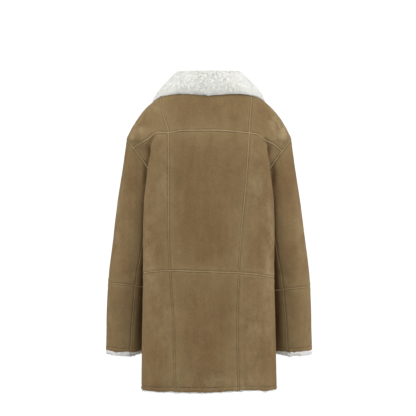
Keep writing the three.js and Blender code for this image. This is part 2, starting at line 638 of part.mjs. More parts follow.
// A point on the skin side of the collar. fall runs from 0 at the neck seam to 1 at the top of the
// stand, 2 past the roll and 3 at the edge of the leaf.
function collarPoint(turn, fall) {
  const a = Math.abs(turn);
  const side = Math.sign(turn) || 1;
  const at = (key) => column(COLLAR_STATIONS, "turn", key, a);
  const share = Math.sin(degrees(a));
  const front = a > 90;
  const { halfWidth, back, front: fore, y, topZ, frontDrop, radius } = COLLAR_ROLL;
  const round = front ? FRONT_ROUND : BACK_ROUND;
  const roll = new THREE.Vector3(
    side * halfWidth * share,
    y + (front ? -(fore + y) : back - y) * quarter(share, round),
    topZ - (front ? frontDrop * (1 - share * share) : 0),
  );
  const base = neckEdge(turn);
  base.z += NECK_GAP;
  if (fall <= 1) return base.lerp(roll, fall);
  const out = new THREE.Vector3(side * share * back, (front ? -1 : 1) * Math.sqrt(1 - share * share) * halfWidth, 0);
  out.normalize();
  const centre = roll.addScaledVector(out, radius);
  const leafTurn = front ? 90 + ((a - 90) * (COLLAR_POINT - 90)) / (COLLAR_END - 90) : a;
  const z = at("edgeLevel");
  const x = sectionEdge(z, 1).x * Math.sin(degrees(leafTurn));
  const domain = front ? (180 - leafTurn) / 90 : acrossAt(x, z);
  const surface = front ? (u, w) => frontPoint(u, w, 1) : backPoint;
  const edge = surface(domain, z);
  const lift = outwardAt(surface, [domain, z], new THREE.Vector3(0, 0, z - 60), [2e-4, 0.01]);
  edge.addScaledVector(lift, LEAF_LIFT);
  edge.x = side * Math.abs(edge.x);
  const down = edge.clone().sub(centre).normalize();
  const up = new THREE.Vector3(0, 0, 1);
  const lean = up.clone().addScaledVector(down, -down.z).normalize();
  if (fall <= 2) {
    const total = Math.PI / 2 + Math.acos(lean.z);
    const angle = total * (fall - 1);
    const level = angle < Math.PI / 2 ? out.negate() : new THREE.Vector3(lean.x, lean.y, 0).normalize();
    return centre.addScaledVector(level, radius * Math.abs(Math.cos(angle))).addScaledVector(up, radius * Math.sin(angle));
  }
  const t = fall - 2;
  const start = centre.addScaledVector(lean, radius);
  return start.lerp(edge, t).addScaledVector(lean, at("bow") * Math.sin(Math.PI * t) * (1 - 0.35 * t));
}

// The wool is rounded off at the leaf's edge and pressed thinner at the neck seam.
function collarThickness([, fall]) {
  const edge = Math.max(0, (fall - 2.6) / 0.4);
  return COLLAR_WALL * Math.sqrt(1 - 0.85 * edge * edge) * mix(0.75, 1, Math.min(fall, 1));
}

const collarFalls = [0, 0.35, 0.7, 1, 1.25, 1.5, 1.75, 2, 2.16, 2.33, 2.5, 2.66, 2.8, 2.93, 3];
const collarTurns = Array.from({ length: 41 }, (_, k) => -COLLAR_END + (2 * COLLAR_END * k) / 40);
const collarCore = ([turn]) => collarPoint(turn, 1).lerp(collarPoint(turn, 2), 0.5).setZ(collarPoint(turn, 1).z - 12);
addPiece(
  "collar",
  wallPiece({
    surface: collarPoint,
    grid: collarFalls.map((fall) => collarTurns.map((turn) => [turn, fall])),
    inward: (d) => outwardAt(collarPoint, [d[0], Math.min(Math.max(d[1], 0.01), 2.99)], collarCore(d), [0.05, 5e-3]),
    thickness: collarThickness,
    sewn: "",
  }),
  WOOL,
);

// Round buttons on the middle line of the upper front, each with a raised rim.
BUTTON_LEVELS.forEach((z, i) => {
  const surface = (across, w) => frontPoint(across, w, 1);
  const out = outwardAt(surface, [0, z], new THREE.Vector3(0, 0, z), [2e-3, 0.01]);
  const { radius, thickness, rim, gap } = BUTTON;
  const profile = [
    [0, 0], [radius - 1, 0], [radius, 1], [radius, thickness - 1], [radius - 1, thickness],
    [radius - 2.6, thickness], [radius - 3.6, thickness - rim], [0, thickness - rim],
  ];
  const geometry = new THREE.LatheGeometry(profile.map(([x, y]) => new THREE.Vector2(x, y)), 18);
  geometry.deleteAttribute("uv");
  geometry.deleteAttribute("normal");
  const turned = new THREE.Quaternion().setFromUnitVectors(new THREE.Vector3(0, 1, 0), out);
  geometry.applyQuaternion(turned);
  const at = surface(0, z).addScaledVector(out, gap);
  geometry.translate(at.x, at.y, at.z);
  addPiece(`button_${i + 1}`, solidOf(geometry), HORN);
});

// Joins doubled points and drops flat triangles, so that a turned shape is one closed body.
function solidOf(geometry) {
  const joined = BufferGeometryUtils.mergeVertices(geometry, 1e-4);
  const index = joined.index.array;
  const kept = [];
  for (let f = 0; f < index.length; f += 3) {
    const [a, b, c] = [index[f], index[f + 1], index[f + 2]];
    if (a !== b && b !== c && c !== a) kept.push(a, b, c);
  }
  return closedGeometry(Array.from(joined.attributes.position.array), kept);
}

export default coat;
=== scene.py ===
"""A shearling coat, filled out as it is when worn: suede skins with their wool, lapped seams with
their stitching, the wool collar and the buttons.

Shapes are worked out in millimetres, from the same tables as the solids, and go into the meshes in
metres. The back faces +Y, and +X is the wearer's left.
"""

import json
import math

import bpy
import numpy as np
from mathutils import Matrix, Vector

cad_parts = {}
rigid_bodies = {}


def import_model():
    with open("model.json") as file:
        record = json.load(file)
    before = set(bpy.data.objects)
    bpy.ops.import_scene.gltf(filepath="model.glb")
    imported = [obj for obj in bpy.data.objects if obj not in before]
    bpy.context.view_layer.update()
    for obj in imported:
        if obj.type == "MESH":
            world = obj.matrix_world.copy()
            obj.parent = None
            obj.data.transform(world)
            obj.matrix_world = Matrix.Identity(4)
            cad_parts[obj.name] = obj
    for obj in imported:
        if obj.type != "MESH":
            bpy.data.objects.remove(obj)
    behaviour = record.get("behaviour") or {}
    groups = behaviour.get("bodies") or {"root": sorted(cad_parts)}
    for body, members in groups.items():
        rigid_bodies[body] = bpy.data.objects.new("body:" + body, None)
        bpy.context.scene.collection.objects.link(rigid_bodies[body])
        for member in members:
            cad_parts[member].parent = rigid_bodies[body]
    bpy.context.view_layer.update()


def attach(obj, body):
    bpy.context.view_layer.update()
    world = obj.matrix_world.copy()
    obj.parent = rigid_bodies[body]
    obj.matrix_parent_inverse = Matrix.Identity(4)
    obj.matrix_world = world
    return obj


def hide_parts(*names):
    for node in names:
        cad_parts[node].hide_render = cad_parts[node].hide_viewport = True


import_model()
MM = 0.001

# Sizes shared with the solids.
BODY_WALL = 8.0
COLLAR_WALL = 12.0
NECK_Z = 27.0
HEM_Z = -820.0
SHOULDER_TIP = (231.5, -5.0, -118.0)
UNDERARM = (145.0, -12.0, -262.0)
ARMHOLE_BACK = 46.0
ARMHOLE_FRONT = 60.0
ARMHOLE_LEAN = 1.5
FRONT_LAP = 36.0
LAP_FADE = 88.0
LAP_STEP = 5.6
BACK_ROUND = 2.15
FOLDED_ROUND = 2.5
FRONT_ROUND = 2.2
FRONT_WAIST_Z = -500.0
CUFF_RING = 6
ELBOW = {1: 4.0, -1: 4.1}
CUFF_BOW = 8.0

# Body levels: z, width, edgeY, back, front, drop, foldX, foldY.
BODY = np.array([
    (HEM_Z, 171, -16, 132, 143, 0, 189.5, 46),
    (-650, 167, -16, 130, 141, 0, 186.5, 46),
    (-490, 159, -16, 127, 138, 0, 184, 48),
    (-380, 149, -15, 125, 137, 0, 184, 54),
    (-300, 145, -14, 124, 137, 4, 182, 62),
    (UNDERARM[2], UNDERARM[0], UNDERARM[1], 123, 136, 10, 179, 70),
    (-200, 173, -9, 122, 133, 24, 170, 83),
    (-160, 199, -7, 120, 129, 35, 163, 90),
    (SHOULDER_TIP[2], SHOULDER_TIP[0], SHOULDER_TIP[1], 117, 124, 45, 152, 96),
    (-95, 223, -5, 113, 119, 51, 147, 94),
    (-65, 206, -5, 107, 112, 59, 136, 90),
    (-38, 186, -5, 100, 104, 68, 122, 84),
    (-18, 166, -5, 94, 98, 74, 108, 78),
    (0, 141, -5, 87, 92, 80, 92, 70),
    (14, 113, -5, 76, 86, 84, 74, 60),
    (NECK_Z, 78, -5, 62, 78, 89, 51, 48),
], float)

# Sleeve rings: ring, outerX, outerZ, innerX, innerZ, outerY, innerY, back, front, lean.
SLEEVE = np.array([
    (0, 231.5, -118, 145, -262, -5, -12, 46, 60, 1.5),
    (1, 242, -190, 152, -300, -10, -17, 48, 62, 1.25),
    (2, 259, -300, 155.5, -370, -16, -21, 50, 62, 1.05),
    (3, 271, -400, 159, -440, -20, -24, 52, 60, 1),
    (4, 284.5, -518, 168, -532, -27, -31, 54, 58, 1),
    (5, 289.5, -620, 175, -628, -42, -46, 54, 56, 1),
    (6, 291.5, -716, 180, -714, -54, -58, 54, 55, 1),
], float)

# Lengthwise sleeve seams: ring, hind, fore, in degrees from the outer side towards the back.
SLEEVE_SEAMS = np.array([
    (0, 162, -158), (1, 140, -140), (2, 124, -128), (3, 117, -122), (4, 111, -118), (5, 108, -116),
    (6, 106, -115),
], float)

# Long back seams: z, distance from the middle on the wearer's left and on the right.
BACK_SEAMS = np.array([
    (HEM_Z, 94, 82), (-641, 98, 79), (-484, 108, 83), (-384, 112.5, 89), (-248, 112.5, 102),
    (-96, 113.5, 112.5), (-51, 127, 115), (0, 137, 120), (NECK_Z, 140, 122),
], float)

# Yoke and waist seams: across, z.
YOKE_SEAM = np.array([
    (-2, -149), (-1.43, -132.7), (-1.11, -122), (-1.01, -114), (-0.82, -107), (-0.74, -102.5), (-0.54, -98.5),
    (0, -91), (0.35, -92), (0.57, -98.6), (0.83, -96.6), (1.02, -98.6), (1.08, -105), (1.18, -116.5),
    (1.4, -126), (2, -139),
], float)
WAIST_SEAM = np.array([
    (-2, -507), (-1, -504), (-0.3, -489), (0, -486), (0.4, -483), (1, -491), (2, -494),
], float)

# The collar: turn, level of the leaf's edge, how far the leaf bows out.
COLLAR = np.array([
    (0, 6, 3), (35, 11, 3), (62, 8, 2), (90, -4, 2), (120, -27, 4), (145, -58, 7), (172, -92, 9),
], float)
COLLAR_END = 172.0
COLLAR_POINT = 160.0
ROLL = dict(half=80.0, back=68.0, front=84.0, y=-5.0, top=62.0, drop=96.0, radius=3.0)
LEAF_LIFT = 2.0
NECK_GAP = 1.5

# Sewing and hide: how far stitches lie from a seam and from a raw edge, how far apart they are, how
# long and thick they are, and how thick the hide is.
STITCH_SIDE = 2.5
HEM_STITCH = 12
STITCH_PITCH = 4.1
STITCH_LENGTH = 3.1
STITCH_RADIUS = 0.42
HIDE = 1.4

# Distances between the points of the skins, of the seam lines and of the collar.
SKIN_STEP = 4.6
LINE_STEP = 3.0
COLLAR_STEP = 2.3
SIDES = ((1, "left"), (-1, "right"))


def mix(a, b, s):
    """a + (b - a) s."""
    return a + (b - a) * s


def between(x, low, high):
    """Smooth step: 0 below low, 1 above high, 3s^2 - 2s^3 between."""
    s = np.clip((x - low) / (high - low), 0, 1)
    return s * s * (3 - 2 * s)


def column(rows, col, at):
    """Cubic through one column against the first, its slope at each row the harmonic mean of the
    slopes beside it, or 0 where they differ in sign, so it never overshoots."""
    t, v = rows[:, 0], rows[:, col]
    slope = np.diff(v) / np.diff(t)
    tangent = np.empty(len(v))
    tangent[0], tangent[-1] = slope[0], slope[-1]
    a, b = slope[:-1], slope[1:]
    same = a * b > 0
    tangent[1:-1] = np.where(same, 2 * a * b / np.where(same, a + b, 1), 0)
    x = np.clip(at, t[0], t[-1])
    k = np.clip(np.searchsorted(t, x, side="left") - 1, 0, len(t) - 2)
    step = t[k + 1] - t[k]
    s = (x - t[k]) / step
    s2, s3 = s * s, s * s * s
    return (
        (2 * s3 - 3 * s2 + 1) * v[k]
        + (s3 - 2 * s2 + s) * step * tangent[k]
        + (3 * s2 - 2 * s3) * v[k + 1]
        + (s3 - s2) * step * tangent[k + 1]
    )


def unit(v, least=0.0):
    """Vectors made one long, none divided by less than least."""
    return v / np.maximum(np.linalg.norm(v, axis=-1, keepdims=True), least)


def bell(d, width):
    """1 at 0, falling to nothing on both sides: exp(-(d / width)^2)."""
    return np.exp(-((d / width) ** 2))


def steps_of(p):
    """Lengths of a line's steps."""
    return np.linalg.norm(np.diff(p, axis=0), axis=1)


def quarter(share, power):
    """Depth of a rounded quarter section: (1 - |share|^power)^(1/power)."""
    return np.maximum(0, 1 - np.abs(share) ** power) ** (1 / power)


def section_edge(z, facing):
    """Side end of a level section: the side seam, the armhole, whose x follows rise^lean and whose
    y swings by 2 sqrt(rise (1 - rise)), or the top of the shoulder."""
    rise = np.clip((z - UNDERARM[2]) / (SHOULDER_TIP[2] - UNDERARM[2]), 0, 1)
    arm = (z > UNDERARM[2]) & (z < SHOULDER_TIP[2])
    swing = ARMHOLE_BACK if facing > 0 else -ARMHOLE_FRONT
    x = np.where(arm, mix(UNDERARM[0], SHOULDER_TIP[0], rise**ARMHOLE_LEAN), column(BODY, 1, z))
    y = mix(UNDERARM[1], SHOULDER_TIP[1], rise) + swing * 2 * np.sqrt(rise * (1 - rise))
    return x, np.where(arm, y, column(BODY, 2, z))


def soft_level(z, facing):
    """The side end's y, averaged over 24 mm of height, for the parts of a section inside it."""
    return sum(section_edge(z + step, facing)[1] for step in (-12, -8, -4, 0, 4, 8, 12)) / 7


def back_surface(across, z):
    """The back: a rounded half section from the middle (0) to the fold (1), then a cubic Bezier
    behind the fold to the edge (2). Higher up it turns into one plain rounded section."""
    across, z = np.broadcast_arrays(np.asarray(across, float), np.asarray(z, float))
    side = np.where(across < 0, -1.0, 1.0)
    a = np.minimum(np.abs(across), 2)
    ex, ey = section_edge(z, 1)
    ey = mix(soft_level(z, 1), ey, np.clip(a - 1, 0, 1) ** 5)
    back, fx, fy = column(BODY, 3, z), column(BODY, 6, z), column(BODY, 7, z)
    share = 1 - between(z, -172, -100)
    x1 = fx * np.sin(np.minimum(a, 1) * np.pi / 2)
    folded1 = mix(fy, back, quarter(x1 / fx, FOLDED_ROUND))
    smooth1 = mix(ey, back, quarter(np.minimum(x1 / ex, 1), BACK_ROUND))
    t = np.clip(a - 1, 0, 1)
    start = np.arcsin(np.minimum(fx / ex, 1))
    x2 = ex * np.sin(mix(start, np.pi / 2, t))
    smooth2 = mix(ey, back, quarter(x2 / ex, BACK_ROUND))
    reach = np.maximum(fy - ey, 0)
    high = between(z, UNDERARM[2], -185)
    turn = np.radians(mix(-78, -8, high))
    hold = mix(0.62 * reach, 0.4 * np.hypot(ex - fx, reach), high)
    w = [(1 - t) ** 3, 3 * (1 - t) ** 2 * t, 3 * (1 - t) * t**2, t**3]
    bx = w[0] * fx + w[1] * fx + w[2] * (ex - hold * np.cos(turn)) + w[3] * ex
    by = w[0] * fy + w[1] * (fy - 0.45 * reach) + w[2] * (ey - hold * np.sin(turn)) + w[3] * ey
    outer = a > 1
    x = np.where(outer, mix(x2, bx, share), x1)
    y = np.where(outer, mix(smooth2, by, share), mix(smooth1, folded1, share))
    return np.stack([side * x, y, z], -1)


def front_surface(layer):
    """One front: a rounded quarter section from the middle (0) to the side (1), hanging lower
    towards the middle, and a level lap to -1. layer 1 lies on top and -1 beneath."""

    def surface(across, z):
        across, z = np.broadcast_arrays(np.asarray(across, float), np.asarray(z, float))
        ex, ey = section_edge(z, -1)
        lap = FRONT_LAP * across / ex
        share = np.where(across < 0, lap, np.sin(np.minimum(across, 1) * np.pi / 2))
        x = ex * share
        ey = mix(soft_level(z, -1), ey, np.abs(share) ** 7)
        fade = np.minimum(LAP_FADE, 0.85 * ex)
        step = layer * LAP_STEP * mix(1, 1.5, between(z, -230, 0)) * (1 - between(x, FRONT_LAP, fade))
        y = mix(ey, -column(BODY, 4, z), quarter(share, FRONT_ROUND)) - step
        return np.stack([-layer * x, y, z - column(BODY, 5, z) * (1 - share**2)], -1)

    return surface


def sleeve_surface(side):
    """A sleeve: rings from the armhole to the cuff, each an ellipse between its outer and inner
    ends, whose x follows rise^lean, and the cuff bowed down at its back and front."""

    def surface(turn, ring):
        turn, ring = np.broadcast_arrays(np.asarray(turn, float), np.asarray(ring, float))
        c, s = np.cos(np.radians(turn)), np.sin(np.radians(turn))
        rise = (1 + c) / 2
        ox, oz, ix, iz, oy, iy, back, front, lean = (column(SLEEVE, k, ring) for k in range(1, 10))
        cuff = between(ring, 5, CUFF_RING)
        x = side * mix(ix, ox, rise**lean)
        y = mix(iy, oy, rise) + s * np.where(s > 0, back, front)
        return np.stack([x, y, mix(iz, oz, rise) - cuff * CUFF_BOW * s**2], -1)

    return surface


def solve(f, value, low, high):
    """Bisection for f(t) = value on whole arrays, f rising from low to high."""
    value = np.asarray(value, float)
    low, high = np.full(value.shape, float(low)), np.full(value.shape, float(high))
    for _ in range(40):
        middle = (low + high) / 2
        under = f(middle) < value
        low, high = np.where(under, middle, low), np.where(under, high, middle)
    return (low + high) / 2


def across_at(x, z):
    """The back's across value at a distance from the middle."""
    return np.sign(x) * solve(lambda a: back_surface(a, z)[..., 0], np.abs(x), 0, 2)


def seam_x(side, z):
    return side * column(BACK_SEAMS, 1 if side > 0 else 2, z)


def seam_top(side):
    """Height at which a long back seam runs into the top of the shoulder."""
    return float(solve(lambda z: side * seam_x(side, z) - column(BODY, 1, z), 0.0, -60, NECK_Z))


SEAM_TOP = {s: seam_top(s) for s in (-1, 1)}


def long_seam(side):
    """A long back seam as domain points against height."""

    def at(z):
        top = SEAM_TOP[side]
        z = np.minimum(z, top)
        a = np.where(z > top - 1e-6, 2.0 * side, across_at(seam_x(side, z), z))
        return np.stack([a, z], -1)

    return at


def yoke_z(across):
    return column(YOKE_SEAM, 1, across)


def waist_z(across):
    return column(WAIST_SEAM, 1, across)


def crossing(side, height):
    """Height at which a long seam meets a seam that runs round the body."""
    z = height(float(side))
    for _ in range(30):
        z = height(across_at(seam_x(side, z), z))
    return float(z)


def evenly(surface, line):
    """A line of domain points re-timed so that equal steps of t are equal lengths."""
    t = np.linspace(0, 1, 601)
    d = line(t)
    p = surface(d[:, 0], d[:, 1])
    run = np.r_[0, np.cumsum(steps_of(p))]
    return lambda s: np.stack([np.interp(np.asarray(s) * run[-1], run, d[:, k]) for k in (0, 1)], -1)


def straight(surface, a, b):
    """Evenly timed straight domain line from a to b."""
    a, b = np.array(a, float), np.array(b, float)
    return evenly(surface, lambda t: mix(a, b, t[:, None]))


def chain(*legs):
    """Several (share, line) legs end to end, each taking its share of t."""
    total = float(sum(n for n, _ in legs))

    def at(s):
        s = np.asarray(s, float) * total
        out = np.zeros(s.shape + (2,))
        low = 0.0
        for n, line in legs:
            here = s >= low - 1e-9
            out[here] = line(np.clip((s[here] - low) / n, 0, 1))
            low += n
        return out

    return at


def fill(edges, u, v):
    """Coons patch: the sum of the two ways across less the bilinear corners."""
    bottom, top, left, right = (e(w) for e, w in zip(edges, (u, u, v, v)))
    ends = np.array([0.0, 1.0])
    low, high = edges[0](ends), edges[1](ends)
    uu, vv = u[None, :, None], v[:, None, None]
    across = mix(bottom[None], top[None], vv) + mix(left[:, None], right[:, None], uu)
    corners = mix(mix(low[0], low[1], uu), mix(high[0], high[1], uu), vv)
    return across - corners


def spread(length, step):
    """Shares of a length, close together near both ends and step apart between."""
    near = np.array([0, 0.8, 1.6, 2.4, 3.2, 4.0, 4.9, 6, 7.5, 9.5, 12])
    near = near[near < length * 0.4]
    count = max(int(round((length - 2 * near[-1]) / step)), 2)
    middle = np.linspace(near[-1], length - near[-1], count + 1)[1:-1]
    return np.r_[near, middle, (length - near)[::-1]] / length


def lumps(p, size, seed):
    """Value noise: random numbers from -1 to 1 on a lattice, joined by smooth steps."""
    q = p / size + 17.3 * seed
    cell = np.floor(q).astype(np.int64)
    f = q - cell
    f = f * f * (3 - 2 * f)

    def corner(i, j, k):
        n = (cell[..., 0] + i) * 374761393 + (cell[..., 1] + j) * 668265263 + (cell[..., 2] + k) * 2147483647
        n = (n + seed * 974634777) & 0xFFFFFFFF
        n = ((n ^ (n >> 13)) * 1274126177) & 0xFFFFFFFF
        return ((n ^ (n >> 16)) & 0xFFFF) / 32767.5 - 1

    out = 0
    for i in (0, 1):
        for j in (0, 1):
            for k in (0, 1):
                w = [f[..., 0] if i else 1 - f[..., 0], f[..., 1] if j else 1 - f[..., 1]]
                out = out + w[0] * w[1] * (f[..., 2] if k else 1 - f[..., 2]) * corner(i, j, k)
    return out


def outward(p, inside):
    """Unit normals of a grid by the cross product of its two slopes, turned away from inside."""
    n = unit(np.cross(np.gradient(p, axis=1), np.gradient(p, axis=0)), 1e-9)
    if np.mean(np.sum(n * (p - inside), -1)) < 0:
        n = -n
    return n


def grid_quads(nv, nu, base=0):
    """Quads of a grid of nv by nu points, counted row by row."""
    i, j = np.meshgrid(np.arange(nu - 1), np.arange(nv - 1))
    a = (j * nu + i).ravel() + base
    return np.stack([a, a + 1, a + 1 + nu, a + nu], 1)


def rim_loop(nv, nu):
    """Point numbers round a grid's border, in the turning sense of its quads."""
    g = np.arange(nv * nu).reshape(nv, nu)
    return np.r_[g[0, :-1], g[:-1, -1], g[-1, :0:-1], g[:0:-1, 0]]


def add_mesh(name, verts, faces, materials, slots=None, values=None):
    """Puts arrays of points in millimetres and of faces, quads or triangles, into a new object."""
    faces = faces if isinstance(faces, tuple) else (faces,)
    mesh = bpy.data.meshes.new(name)
    mesh.vertices.add(len(verts))
    mesh.vertices.foreach_set("co", (np.asarray(verts) * MM).astype(np.float32).ravel())
    corners = np.concatenate([f.ravel() for f in faces]).astype(np.int32)
    sizes = np.concatenate([np.full(len(f), f.shape[1]) for f in faces])
    mesh.loops.add(len(corners))
    mesh.loops.foreach_set("vertex_index", corners)
    mesh.polygons.add(len(sizes))
    mesh.polygons.foreach_set("loop_start", np.r_[0, np.cumsum(sizes)[:-1]].astype(np.int32))
    for m in materials:
        mesh.materials.append(m)
    if slots is not None:
        mesh.polygons.foreach_set("material_index", np.asarray(slots, np.int32))
    mesh.polygons.foreach_set("use_smooth", np.full(len(sizes), True))
    for key, data in (values or {}).items():
        mesh.attributes.new(key, "FLOAT", "POINT").data.foreach_set("value", np.asarray(data, np.float32))
    mesh.update(calc_edges=True)
    mesh.validate()
    ob = bpy.data.objects.new(name, mesh)
    bpy.context.scene.collection.objects.link(ob)
    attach(ob, "root")
    return ob


def turned_out(verts, faces):
    """The faces of a closed body, reversed if its signed volume is negative."""
    a, b, c, d = (verts[faces[:, k]] for k in range(4))
    volume = np.sum(a * np.cross(b, c)) + np.sum(a * np.cross(c, d))
    return faces if volume > 0 else faces[:, ::-1]


def normals_at(surface, a, b, steps, inside):
    """Unit normals of a surface at domain points, from its slopes, turned away from inside."""
    da, db = steps
    slopes = surface(a + da, b) - surface(a - da, b), surface(a, b + db) - surface(a, b - db)
    n = unit(np.cross(*slopes), 1e-12)
    flip = np.sum(n * (surface(a, b) - inside), -1, keepdims=True) < 0
    return np.where(flip, -n, n)


def body_normal(surface, a, z):
    """Normals of the body, away from its middle line."""
    a, z = np.broadcast_arrays(np.asarray(a, float), np.asarray(z, float))
    inside = np.stack([0 * z, 0 * z, z - 60], -1)
    return normals_at(surface, a, z, (2e-4, 0.01), inside)


def sleeve_normal(side, turn, ring):
    """Normals of a sleeve, away from its middle line."""
    surface = sleeve_surface(side)
    turn, ring = np.broadcast_arrays(np.asarray(turn, float), np.asarray(ring, float))
    inside = (surface(0 * turn, ring) + surface(0 * turn + 180, ring)) / 2
    return normals_at(surface, turn, ring, (0.02, 5e-4), inside)


def blob(p, centre, reach):
    """Bell from 1 at a centre to nothing: exp(-(d / reach)^2), reach along x, y and z."""
    return np.exp(-np.sum(((p - centre) / reach) ** 2, -1))


def crease(p, a, b, width):
    """Bell round a segment, thinning towards both of its ends."""
    a, b = np.array(a, float), np.array(b, float)
    t = np.clip(np.sum((p - a) * (b - a), -1) / np.sum((b - a) ** 2), 0, 1)
    d = np.linalg.norm(p - (a + t[..., None] * (b - a)), axis=-1)
    return bell(d, width) * np.sin(np.pi * np.clip(t * 0.96 + 0.02, 0, 1)) ** 0.6


# Main creases: two ends, width and height, with troughs below 0.
CREASES = [
    ((156, 88, -104), (172, 64, -154), 8, -8.5),
    ((168, 70, -146), (181, 38, -206), 8, -8.0),
    ((-157, 88, -112), (-173, 62, -160), 8, -8.5),
    ((-170, 68, -152), (-183, 38, -214), 8, -8.0),
    ((151, 96, -108), (173, 84, -232), 5, 3.4),
    ((-150, 95, -114), (-172, 84, -240), 5, 3.2),
    ((158, 84, -215), (176, 74, -330), 9, -2.2),
    ((166, 96, -150), (120, 118, -210), 13, -1.6),
    ((-160, 90, -160), (-118, 118, -240), 13, -1.8),
    ((-168, 80, -240), (-172, 74, -350), 10, -2.0),
    ((60, 124, -130), (30, 126, -330), 24, -1.6),
    ((-40, 124, -150), (-62, 126, -400), 26, 1.7),
    ((10, 126, -330), (-20, 128, -480), 22, -1.2),
    ((140, 110, -470), (120, 118, -400), 12, -1.5),
    ((-150, 108, -480), (-128, 116, -420), 12, -1.6),
    ((130, 116, -500), (142, 112, -640), 14, 1.7),
    ((-110, 124, -520), (-132, 118, -700), 15, 1.8),
    ((-20, 130, -520), (-34, 132, -700), 22, -1.6),
    ((45, 130, -560), (38, 132, -760), 24, 1.5),
    ((82, 128, -770), (78, 130, -822), 8, -2.4),
    ((-101, 124, -765), (-97, 126, -822), 6, -2.2),
    ((-115, 122, -780), (-118, 124, -822), 7, 1.8),
    ((170, 12, -470), (245, 30, -505), 11, -2.6),
    ((182, 20, -545), (250, 24, -520), 10, -2.2),
    ((200, 28, -500), (272, 0, -470), 12, 1.6),
    ((-172, 12, -480), (-240, 30, -512), 11, -2.6),
    ((-184, 18, -556), (-252, 22, -530), 10, -2.2),
    ((-262, 22, -420), (-210, 32, -470), 12, 1.6),
    ((205, 40, -215), (232, 30, -320), 14, -2.0),
    ((-208, 40, -220), (-236, 28, -330), 14, -2.0),
    ((215, 38, -135), (182, 62, -112), 12, -1.2),
    ((-212, 40, -140), (-170, 66, -110), 12, -1.4),
    ((210, 8, -640), (262, -6, -600), 12, -1.6),
    ((-214, 6, -650), (-266, -4, -612), 12, -1.6),
    ((60, -122, -240), (110, -100, -330), 16, -1.8),
    ((-60, -126, -260), (-112, -100, -350), 16, -1.8),
    ((100, -118, -560), (112, -112, -760), 20, 1.8),
    ((-96, -122, -540), (-110, -114, -740), 20, 1.8),
    ((150, -70, -200), (120, -98, -260), 12, -2.0),
    ((-150, -70, -205), (-120, -98, -270), 12, -2.0),
]


def hang(p):
    """How the hide departs from its plain form, in millimetres: long soft folds, gentle dents in
    two sizes and the main creases."""
    out = 1.3 * lumps(p / (1, 1, 2.6), 62, 3) + 0.55 * lumps(p / (1, 1, 1.8), 27, 5) + 0.22 * lumps(p, 11, 8)
    for a, b, width, height in CREASES:
        out = out + height * crease(p, a, b, width)
    return out


# Where the nap is rubbed pale: centre, reach and how much.
WORN = [
    ((196, 30, -70), (26, 60, 42), 0.9),
    ((-192, 30, -66), (26, 60, 44), 1.0),
    ((150, 60, -22), (40, 60, 26), 0.45),
    ((-205, 20, -100), (22, 50, 26), 0.7),
    ((215, 20, -112), (16, 50, 22), 0.6),
    ((262, 20, -330), (16, 60, 130), 0.5),
    ((-264, 20, -330), (16, 60, 130), 0.55),
    ((128, 110, -250), (20, 40, 90), 0.4),
    ((-130, 110, -250), (22, 40, 90), 0.4),
    ((168, 70, -420), (18, 50, 160), 0.5),
    ((-168, 70, -420), (20, 50, 170), 0.55),
    ((130, 120, -600), (40, 40, 120), 0.35),
    ((-40, 130, -790), (150, 40, 26), 0.4),
    ((-130, 120, -640), (44, 40, 110), 0.4),
    ((288, -20, -640), (14, 60, 90), 0.5),
    ((-288, -20, -640), (14, 60, 90), 0.5),
]

# Painted shade: lines where the hide's colour is darkened to stand in for the shade deep behind the folds and
# in the gap between sleeve and body, under the arms: two ends, width.
PAINTED_CREVICE_SHADE = [
    ((154, 91, -102), (171, 68, -150), 7),
    ((168, 73, -140), (178, 43, -184), 8),
    ((176, 45, -170), (181, 29, -250), 8),
    ((178, 28, -240), (184, 20, -440), 9),
    ((183, 20, -410), (188, 10, -560), 12),
    ((187, 10, -520), (193, -18, -716), 15),
    ((-155, 90, -110), (-173, 66, -154), 7),
    ((-170, 70, -146), (-181, 41, -190), 8),
    ((-178, 43, -176), (-184, 29, -256), 8),
    ((-180, 28, -246), (-185, 20, -440), 9),
    ((-184, 20, -410), (-189, 10, -560), 12),
    ((-188, 10, -520), (-194, -18, -716), 15),
]


def worn(p):
    """How far the nap is rubbed pale at each point, 0 to 1."""
    return np.clip(sum(share * blob(p, centre, reach) for centre, reach, share in WORN), 0, 1)


def pressed(p):
    """How far painted shade darkens the hide at each point, 0 to 1, standing in for the shade behind the
    folds and under the arms.
    """
    return np.clip(sum(crease(p, a, b, width) for a, b, width in PAINTED_CREVICE_SHADE), 0, 1)


def seam_relief(d):
    """Height beside a lapped seam: sunk under the lap, a groove at the stitches, a soft swell."""
    return -0.2 * bell(d, 1.6) - 0.9 * bell(d - STITCH_SIDE, 0.9) + 0.6 * bell(d - 8, 4)


def hem_relief(d):
    """Height beside a raw edge: a groove at the stitches, and a thin lip."""
    return -0.9 * bell(d - HEM_STITCH, 1.2) + 0.5 * bell(d - 6.5, 3) - 0.5 * bell(d, 1.2)


def along(p, axis):
    """Lengths run along a grid's rows or columns from their start."""
    step = np.linalg.norm(np.diff(p, axis=axis), axis=-1)
    pad = [(0, 0), (0, 0)]
    pad[axis] = (1, 0)
    return np.pad(np.cumsum(step, axis=axis), pad)


# The cut pieces. Each has its surface, its four edges (bottom, top, left, right) in the surface's
# domain, the edges that are sewn, and how far the wool shows past each raw one.
PANELS = []


def panel(name, surface, edges, sewn, raw, normal, cut=None):
    PANELS.append(dict(name=name, surface=surface, edges=edges, sewn=sewn, raw=raw, normal=normal,
                       cut=cut or name))


def edge_line(surface, across, z0, z1):
    """Part of an edge at constant across."""
    return straight(surface, (across, z0), (across, z1))


def round_line(a0, a1, height):
    """A line round the back at a height that depends on across."""

    def at(t):
        a = mix(a0, a1, t)
        return np.stack([a, height(a)], -1)

    return evenly(back_surface, at)


def long_line(side, z0, z1):
    """Part of a long back seam."""
    return evenly(back_surface, lambda t: long_seam(side)(mix(z0, z1, t)))


def flat_at(z):
    return lambda a: z + 0 * a


